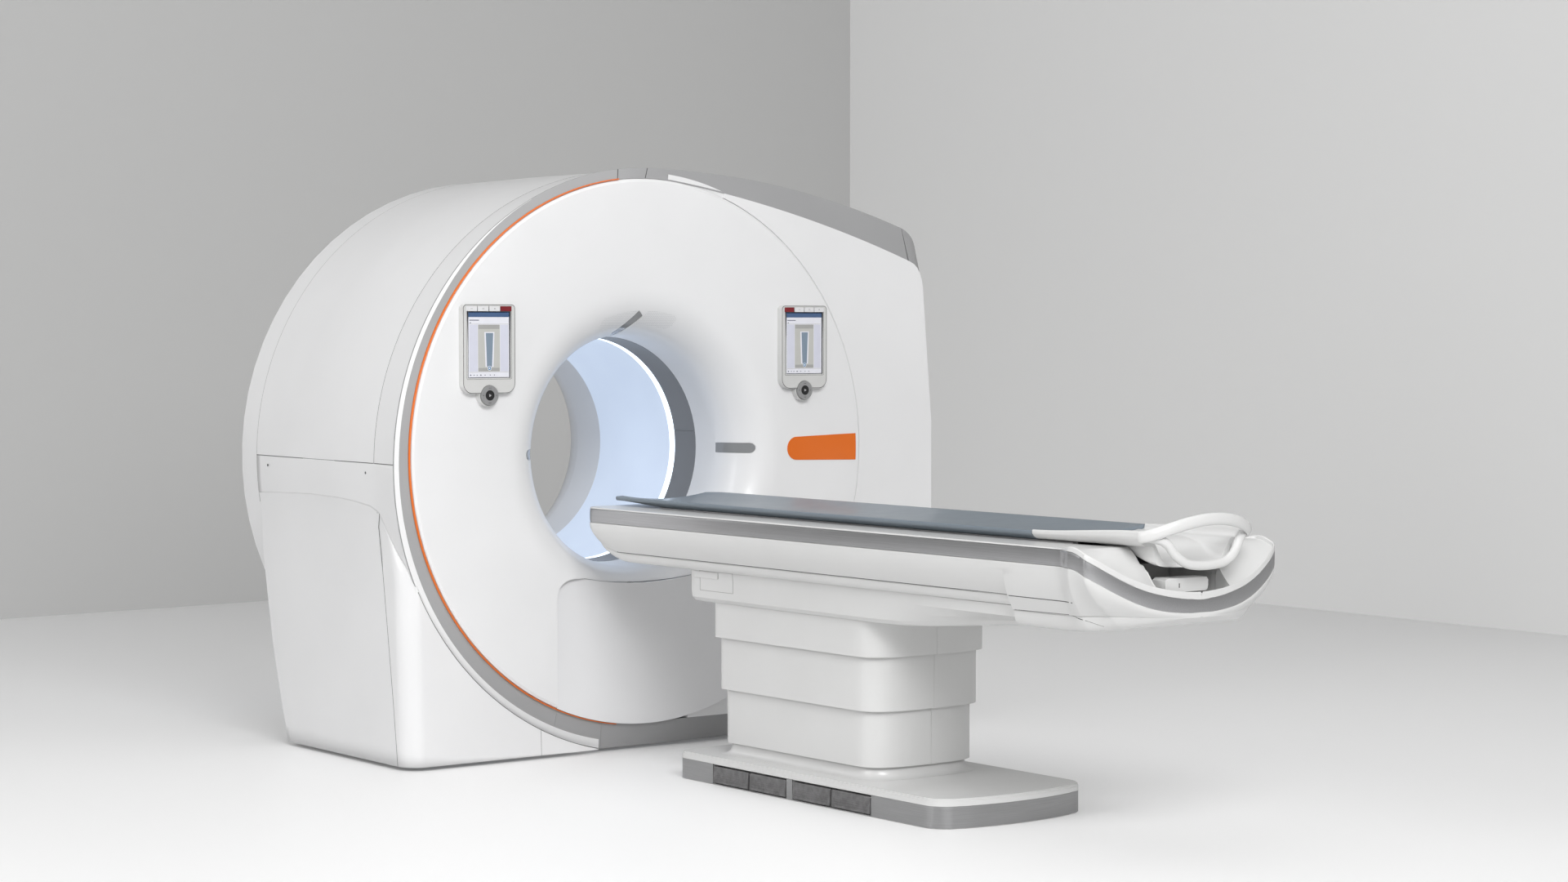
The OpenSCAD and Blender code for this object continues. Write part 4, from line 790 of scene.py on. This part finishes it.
SKIN_Y0, SKIN_Y1, LEG_H = 54.3, 1019, 882
CREASE = [(SKIN_Y0, 604), (63, 648), (90, 690), (118, 731), (150, 790), (180, 836), (235, 857), (357, 870),
          (467, 876), (636, 879), (794, 876), (SKIN_Y1, 868)]
LEG_FRONT = [(TOE, 26), (590, 44), (651, 48), (731, 74), (838, 115), (LEG_H, 130)]
LEG_REAR = [(TOE, 848), (34, 853), (144, 893), (338, 951), (478, 979), (619, 1007), (700, 1018),
            (LEG_H, SKIN_Y1)]
LEG_R, SCOOP = 70.0, 150.0


def crease_z(y):
    """Height of the crease between the drum's skin and the leg."""
    return value_at(CREASE, y)


rows = 22
skin_ys = [mix(SKIN_Y0, 180, i / 14) for i in range(15)]
skin_ys += [mix(180, SKIN_Y1, i / 30) for i in range(1, 31)]
rings = [[on_skin(y, mix(crease_z(y), SPLIT_H - SEAM / 2, i / rows)) for i in range(rows + 1)]
         for y in skin_ys]
v, f = loft(rings, closed=False, caps=False)


def leg_x(z):
    """Place of the leg's outer side at a height."""
    return mix(-930, -936, z / LEG_H)


def leg_column(kind, q):
    """Points of one upright line of the leg, from the floor up to the crease, the band or the drum."""
    def spot(z):
        x0, y0, y1 = leg_x(z), value_at(LEG_FRONT, z), value_at(LEG_REAR, z)
        if kind == "rear":
            return q, y1
        if kind == "side":
            return x0, mix(y1, y0 + LEG_R, q)
        if kind == "corner":
            a = math.radians(90 * q)
            return x0 + LEG_R * (1 - math.cos(a)), y0 + LEG_R * (1 - math.sin(a))
        return q, y0
    if kind in ("rear", "front"):
        r = SKIN_R - 8 if kind == "rear" else DRUM_R + SEAM
        under = DRUM_C[1] - math.sqrt(max(0.0, r ** 2 - (q - DRUM_C[0]) ** 2))
        top = min(860, under) if kind == "rear" else max(TOE + 1, under)
    else:
        top = 860
        for _ in range(30):
            x, y = spot(top)
            top = mix(top, min(crease_z(y), LEG_H), 0.6)
    out = []
    for i in range(33):
        z = mix(TOE, top, math.sin(math.radians(90 * i / 32)) ** 0.9)
        x, y = spot(z)
        if kind in ("side", "corner"):
            edge = on_skin(max(SKIN_Y0, spot(top)[1]), top).x / MM
            x += (edge - spot(top)[0]) * max(0.0, 1 - (top - z) / SCOOP) ** 2.6
        out.append(pt(x, y, z))
    return out


cols = [leg_column("rear", mix(-560, -930, i / 10)) for i in range(11)]
cols += [leg_column("side", i / 40) for i in range(41)]
cols += [leg_column("corner", i / 14) for i in range(1, 15)]
cols += [leg_column("front", mix(leg_x(560) + LEG_R, -190, (i / 30) ** 0.8)) for i in range(1, 31)]
v2, f2 = loft(cols, closed=False, caps=False)
n0 = len(v)
leg = solid("left_leg_cover", v + v2, f + [tuple(n0 + i for i in q) for q in f2], WHITE, "stand",
            ["lower_left_cover", "leg_front_cover"], crease=40)
skin = leg.modifiers.new("wall", "SOLIDIFY")
skin.thickness = 4 * MM
skin.offset = -1

upper_a = [math.radians(mix(90.5, 180, i / 70)) for i in range(71)]


def hoop(y, angles, r=None):
    """Line round the drum at one depth, and its normals."""
    r = r or skin_r(y)
    pts = [pt(DRUM_C[0] + r * math.cos(a), y, DRUM_C[1] + r * math.sin(a)) for a in angles]
    return pts, [Vector((math.cos(a), 0, math.sin(a))) for a in angles]


LEG_SEAM = [(836, 178), (791, 196), (645, 181), (432, 151), (221, 122), (36, 100), (TOE, 97)]
strips = [ribbon([on_skin(y, SPLIT_H) for y in (54, 100, 193, 400, 700, 1019)], LEFT, 2.4)]
ribbon_piece("split_line", strips, JOINT_AND_SHADE_DARK)
low_a = [math.radians(180 + i) for i in range(10)]
leg_side = [(TOE, leg_x(TOE)), (LEG_H, leg_x(LEG_H))]
seam = [pt(value_at(leg_side, z) - 12 * max(0, (z - 700) / 136) ** 2, y, z) for z, y in LEG_SEAM]
strips = [ribbon(*hoop(SEAM2_Y, upper_a + low_a[1:]), 1.6), ribbon(seam, LEFT, 1.8),
          ribbon([pt(-420, value_at(LEG_FRONT, z), z) for z in (TOE, 50, 97)], FRONT, 1.2)]
ribbon_piece("leg_seam", strips, JOINT_AND_SHADE_DARK)
band_a = [math.radians(mix(92, 258, i / 140)) for i in range(141)]
strips = [ribbon(*hoop(SEAM1_Y - 1, upper_a + low_a), 1.6),
          ribbon(*hoop(STRIP_Y + 3, band_a, DRUM_R - 0.4), 2.2)]
ribbon_piece("drum_seams", strips, SEAM_SOFT)


def on_band(a, t, proud):
    """Point of the bevel band at an angle, from its inner edge (0) to its outer edge (1)."""
    c, q = math.cos(a), math.sin(a)
    x = mix((DISC_R + SEAM) * c, DRUM_C[0] + DRUM_R * c, t)
    z = mix(ISO + (DISC_R + SEAM) * q, DRUM_C[1] + DRUM_R * q, t)
    return pt(x, mix(BAND_Y, STRIP_Y, t) - proud, max(TOE, z))


def band_stripe(name, t0, t1, mat, proud, start):
    """Ring of its own colour on the bevel band; it grows to full width past its start."""
    rings = []
    for a in band_a:
        u = ease((math.degrees(a) - start) / 30)
        if u > 0:
            inner = mix(t1 - 0.02, t0, u)
            rings.append([on_band(a, inner, proud), on_band(a, t1, proud),
                          on_band(a, t1, -1.5), on_band(a, inner, -1.5)])
    v, f = loft(rings)
    solid(name, v, f, mat, "stand", crease=30)


band_stripe("band_white_edge", 0.66, 0.985, WHITE, 0.5, 118.0)
band_stripe("band_dark_line", 0.05, 0.13, SEAM_SOFT, 0.3, 112.0)
band_stripe("band_inner_line", 0.60, 0.645, SEAM_SOFT, 0.3, 118.0)

# White strip behind the joint of the disc, where the joint would show the dark inside
backing = ((DISC_R - 8, 3), (DISC_R + 22, 3), (DISC_R + 22, 6), (DISC_R - 8, 6))
wedge = [[pt(r * math.cos(a), BAND_Y + y, ISO + r * math.sin(a)) for r, y in backing]
         for a in (math.radians(mix(52, 84, i / 24)) for i in range(25))]
v, f = loft(wedge)
solid("disc_backing", v, f, WHITE, "stand")
foot_line = [math.radians(mix(204, 257, i / 50)) for i in range(51)]
foot_r = DRUM_R + 0.5
pts = []
for a in foot_line:
    z = DRUM_C[1] + foot_r * math.sin(a)
    pts.append(pt(DRUM_C[0] + foot_r * math.cos(a), value_at(LEG_FRONT, z) - 0.3, z))
strips = [ribbon(pts, FRONT, 1.8)]
for a in (math.radians(97.0), math.radians(90.0)):
    strips.append(ribbon([on_band(a, t, 0.3) for t in (0.02, 0.5, 0.98)], FRONT, 3.0))
ribbon_piece("band_joints", strips, JOINT_AND_SHADE_DARK)


def rounded(w, h, r_top, r_low):
    """Outline of an upright plate with rounded corners, about its own middle."""
    out = arc(w / 2 - r_top, h / 2 - r_top, r_top, 0, 90, 6)
    out += arc(-w / 2 + r_top, h / 2 - r_top, r_top, 90, 180, 6)
    out += arc(-w / 2 + r_low, -h / 2 + r_low, r_low, 180, 270, 8)
    return out + arc(w / 2 - r_low, -h / 2 + r_low, r_low, 270, 360, 8)


# Painted shade line round the housing, standing for its side walls in shade, and joint line round the screen:
# middle, width, height, corner radii, width of the line
PANEL_SHADE_AND_JOINT_LINES = ((PANEL_Z, 196.5, 288.5, 12.2, 32, 1.8), (SCREEN_Z, 171, 226, 3, 3, 1.0))
strips = []
for sgn in (-1, 1):
    for mid, w, h, r_top, r_low, width in PANEL_SHADE_AND_JOINT_LINES:
        line = rounded(w, h, r_top, r_low)
        line.append(line[0])
        line = [pt(sgn * PANEL_X + x, -PANEL_T, mid + z) for x, z in line]
        strips.append(ribbon(line, FRONT, width))
# The dark line round each housing is painted shade; the line round each screen is a joint.
ribbon_piece("panel_shade_and_joint_lines", strips, JOINT_AND_SHADE_DARK)


# ---------------------------------------------------------------- lines on the table
def side_spot(y, z):
    """Point of the cradle's left flank and its outward normal."""
    sec = cradle_side(y)[8:]
    for (xa, za), (xb, zb) in zip(sec, sec[1:]):
        if zb <= z <= za and za > zb:
            x = mix(xa, xb, (za - z) / (za - zb))
            return pt(-x, -y, z), Vector((-(za - zb), 0, -(xa - xb))).normalized()
    return pt(-sec[-1][0], -y, z), LEFT


def flank(rows, n, width):
    """Ribbon on the cradle's flank through rows of (y, z)."""
    ys = [mix(rows[0][0], rows[-1][0], i / n) for i in range(n + 1)]
    spots = [side_spot(y, value_at(rows, y)) for y in ys]
    return ribbon([q[0] for q in spots], [q[1] for q in spots], width)


strips = [flank([(240, 706), (2480, 704)], 90, 2.6),
          flank([(2205, 664), (2440, 667), (2500, 655), (2530, 640)], 30, 1.6)]
ribbon_piece("cradle_lines", strips, JOINT_AND_SHADE_DARK, "lift")
ACCESS_YS = (-661, -837)
sides = [[(-262.3, y, 671), (-260.4, y, 640), (-260.3, y, 608)] for y in ACCESS_YS]
sides += [[(-262.3, y, 671) for y in ACCESS_YS], [(-260.3, y, 608) for y in ACCESS_YS]]
ribbon_piece("access_lines", [ribbon([pt(*q) for q in line], LEFT, 1.4) for line in sides], SEAM_SOFT, "lift")

# Block at the foot of the cradle's pocket, with its small slot
BLOCK_Z, BLOCK_Y = 728, -2611
blk = [(-114, 0), (40, 0), (48, 5), (50, 14), (50, 30), (44, 38), (-104, 40), (-114, 34)]
rings = [[pt(x + dx, y, BLOCK_Z + z * 0.98) for x, z in blk]
         for y, dx in ((BLOCK_Y, 0), (BLOCK_Y + 1.5, 1.5), (-2560, 1.5))]
v, f = loft(rings)
solid("foot_block", v, f, WHITE_TABLE, "lift", bevel=1.5)
plates("foot_block_slot", [rect(-62, 740, -58.5, 752)], JOINT_AND_SHADE_DARK, "lift", BLOCK_Y, 0.4)

# ---------------------------------------------------------------- grille over the bore
FUNNEL_R, THROAT_R, FUNNEL_Y = 560.0, 395.0, 190.0
SLOT_TILT, SLOT_HALF = 38.0, 17.0
SLOT_MID = (-40, -435)
SLOT_LINE = SLOT_MID[0] * math.cos(math.radians(SLOT_TILT)) + SLOT_MID[1] * math.sin(math.radians(SLOT_TILT))
GRILLE_IN, GRILLE_OUT = BORE_R + 43, BORE_R + 91


def on_funnel(r, a, proud):
    """Point of the front funnel at a radius and an angle, standing a little proud of it."""
    u = math.asin((FUNNEL_R - r) / (FUNNEL_R - THROAT_R))
    y = FUNNEL_Y * (1 - math.cos(u)) - proud
    return pt(r * math.cos(math.radians(a)), y, ISO + r * math.sin(math.radians(a)))


verts, faces = [], []
for edge, far in ((SLOT_HALF, 73.0), (-SLOT_HALF, 112.0)):
    n0, cols, rows = len(verts), 24, 12
    for i in range(rows + 1):
        r = mix(GRILLE_IN, GRILLE_OUT, i / rows)
        near = math.degrees(math.acos((SLOT_LINE + edge) / r)) - SLOT_TILT
        end = far + (95 - far) * 0.10 * (2 * i / rows - 1) ** 4
        verts += [on_funnel(r, mix(near, end, k / cols), 0.5) for k in range(cols + 1)]
    for i in range(rows):
        for k in range(cols):
            q = n0 + i * (cols + 1) + k
            faces.append((q, q + 1, q + cols + 2, q + cols + 1))
solid("grille_field", verts, faces, GRILLE, "stand", ["speaker_grille"], crease=60)

# ---------------------------------------------------------------- small things on the covers
def stud(name, spots, normal, r, h, mat):
    """Small round heads on a cover, looking along a direction."""
    n = Vector(normal).normalized()
    u = n.cross(Vector((0, 0, 1))).normalized()
    w = n.cross(u)
    verts, faces = [], []
    for c in spots:
        n0 = len(verts)
        for rr, hh in ((r, 0), (r, h * 0.7), (r * 0.8, h), (r * 0.35, h), (r * 0.3, h * 0.3)):
            verts += [pt(*c) + MM * (rr * math.cos(a) * u + rr * math.sin(a) * w + hh * n)
                      for a in (math.pi * k / 8 for k in range(16))]
        for j in range(4):
            q = n0 + 16 * j
            faces += [(q + k, q + (k + 1) % 16, q + 16 + (k + 1) % 16, q + 16 + k) for k in range(16)]
        faces.append(tuple(n0 + 64 + k for k in range(16)))
    return solid(name, verts, faces, mat, "stand", crease=30)


SCREW_Z, SCREW_YS = 967, (249, 931)
side_x = DRUM_C[0] - math.sqrt(SKIN_R ** 2 - (SCREW_Z - DRUM_C[1]) ** 2)
stud("cover_screws", [(side_x + 0.2, y, SCREW_Z) for y in SCREW_YS], LEFT, 4.5, 1.2, MARK)

# ---------------------------------------------------------------- flared foot of the column
COL_HEAD, COL_FOOT, SKIRT_HW = -726.0, -1482.0, 196.0


def col_plan(g):
    """Plan outline of the column, grown outwards by g."""
    hw, y1, y0, e, r = SKIRT_HW + g, COL_HEAD + g, COL_FOOT - g, 112.0, 40
    out = arc(hw - r, y1 - r, r, 0, 90, 10) + arc(-hw + r, y1 - r, r, 90, 180, 10)
    for i in range(55):
        a = math.radians(180 + 180 * i / 54)
        c, q = math.cos(a), math.sin(a)
        out.append((hw * math.copysign(abs(c) ** 0.6, c), y0 + e + e * math.copysign(abs(q) ** 0.75, q)))
    return out


flare = [(0.6, 126), (1.0, 126.5), (1.6, 125.5), (2.4, 116), (4.2, 106), (7.0, 98), (12.0, 92.5),
         (19.0, 89.6), (27.0, 88.7), (27.0, 88.2), (0.6, 88.2)]
v, f = loft([[pt(x, y, z) for x, y in col_plan(g)] for g, z in flare], caps=False)
n = len(col_plan(0))
f += [((len(flare) - 1) * n + i, (len(flare) - 1) * n + (i + 1) % n, (i + 1) % n, i) for i in range(n)]
solid("column_flare", v, f, WHITE_TABLE, "stand", crease=50)

# ---------------------------------------------------------------- stage, light, camera
FLOOR_TINT = (0.80, 0.80, 0.80)
WALL_L_TINT = (0.40, 0.40, 0.395)
WALL_R_TINT = (0.50, 0.50, 0.495)


def stage_mesh(name, verts, faces, colour, rough, lift, one_way=False):
    """Plain backdrop; lift brightens only what the camera sees of it, and lights nothing.

    A one-way wall is there only for what is in the room, so it never hides the part from behind.
    """
    me = bpy.data.meshes.new(name)
    me.from_pydata(verts, [], faces)
    obj = bpy.data.objects.new(name, me)
    scene.collection.objects.link(obj)
    mat, nt, b = new_material(name)
    b.inputs["Base Color"].default_value = (*colour, 1)
    b.inputs["Roughness"].default_value = rough
    b.inputs["Emission Color"].default_value = (1, 1, 1, 1)
    seen = nt.nodes.new("ShaderNodeLightPath")
    gain = nt.nodes.new("ShaderNodeMath")
    gain.operation = "MULTIPLY"
    gain.inputs[1].default_value = lift
    nt.links.new(seen.outputs["Is Camera Ray"], gain.inputs[0])
    nt.links.new(gain.outputs[0], b.inputs["Emission Strength"])
    if one_way:
        side = nt.nodes.new("ShaderNodeNewGeometry")
        clear = nt.nodes.new("ShaderNodeBsdfTransparent")
        either = nt.nodes.new("ShaderNodeMixShader")
        nt.links.new(side.outputs["Backfacing"], either.inputs[0])
        nt.links.new(b.outputs["BSDF"], either.inputs[1])
        nt.links.new(clear.outputs["BSDF"], either.inputs[2])
        nt.links.new(either.outputs[0], nt.nodes["Material Output"].inputs["Surface"])
    me.materials.append(mat)


# Camera fitted to the photo, in metres and degrees
CAM = Vector((-5.8795, -8.8899, 1.4578))
YAW, PITCH = math.radians(37.3143), math.radians(-2.2292)
LENS, SENSOR = 69.43, 36
FAR_L, CORNER, FAR_R = (-9.0, 4.72), (5.68, 5.61), (5.38, -9.0)  # plan of the two walls
WALL_H, FLOOR_HW = 7.0, 30
QUAD = [(0, 1, 2, 3)]
floor = [(x * FLOOR_HW, y * FLOOR_HW, 0) for x, y in ((-1, -1), (1, -1), (1, 1), (-1, 1))]
stage_mesh("floor", floor, QUAD, FLOOR_TINT, 0.5, 0.12)
for name, p, q, tint, lift in (("wall_left", FAR_L, CORNER, WALL_L_TINT, 0.17),
                               ("wall_right", CORNER, FAR_R, WALL_R_TINT, 0.27)):
    stage_mesh(name, [(*p, 0), (*q, 0), (*q, WALL_H), (*p, WALL_H)], QUAD, tint, 0.7, lift, True)

cam_data = bpy.data.cameras.new("photo_camera")
cam_data.lens = LENS
cam_data.sensor_width = SENSOR
camera = bpy.data.objects.new("photo_camera", cam_data)
camera.location = CAM
camera.rotation_euler = (math.radians(90) + PITCH, 0, -YAW)
scene.collection.objects.link(camera)
scene.camera = camera

world = bpy.data.worlds.new("studio")
scene.world = world
world.use_nodes = True
bg = world.node_tree.nodes["Background"]
bg.inputs["Color"].default_value = (0.42, 0.42, 0.42, 1)
bg.inputs["Strength"].default_value = 1.0


def area(name, loc, target, size, power):
    """Soft lamp that looks at a target and isn't seen itself."""
    data = bpy.data.lights.new(name, "AREA")
    data.shape = "RECTANGLE"
    data.size, data.size_y = size
    data.energy = power
    obj = bpy.data.objects.new(name, data)
    obj.location = loc
    obj.rotation_euler = (Vector(target) - Vector(loc)).to_track_quat("-Z", "Y").to_euler()
    obj.visible_camera = False
    scene.collection.objects.link(obj)


area("key", (-3.0, -8.0, 5.0), (0, 0, 0.9), (4, 3), 450)
area("left", (-7.0, -1.0, 3.6), (0, -0.8, 0.8), (3, 3), 130)
area("top", (0, -0.8, 7.0), (0, -0.8, 0), (6, 6), 85)
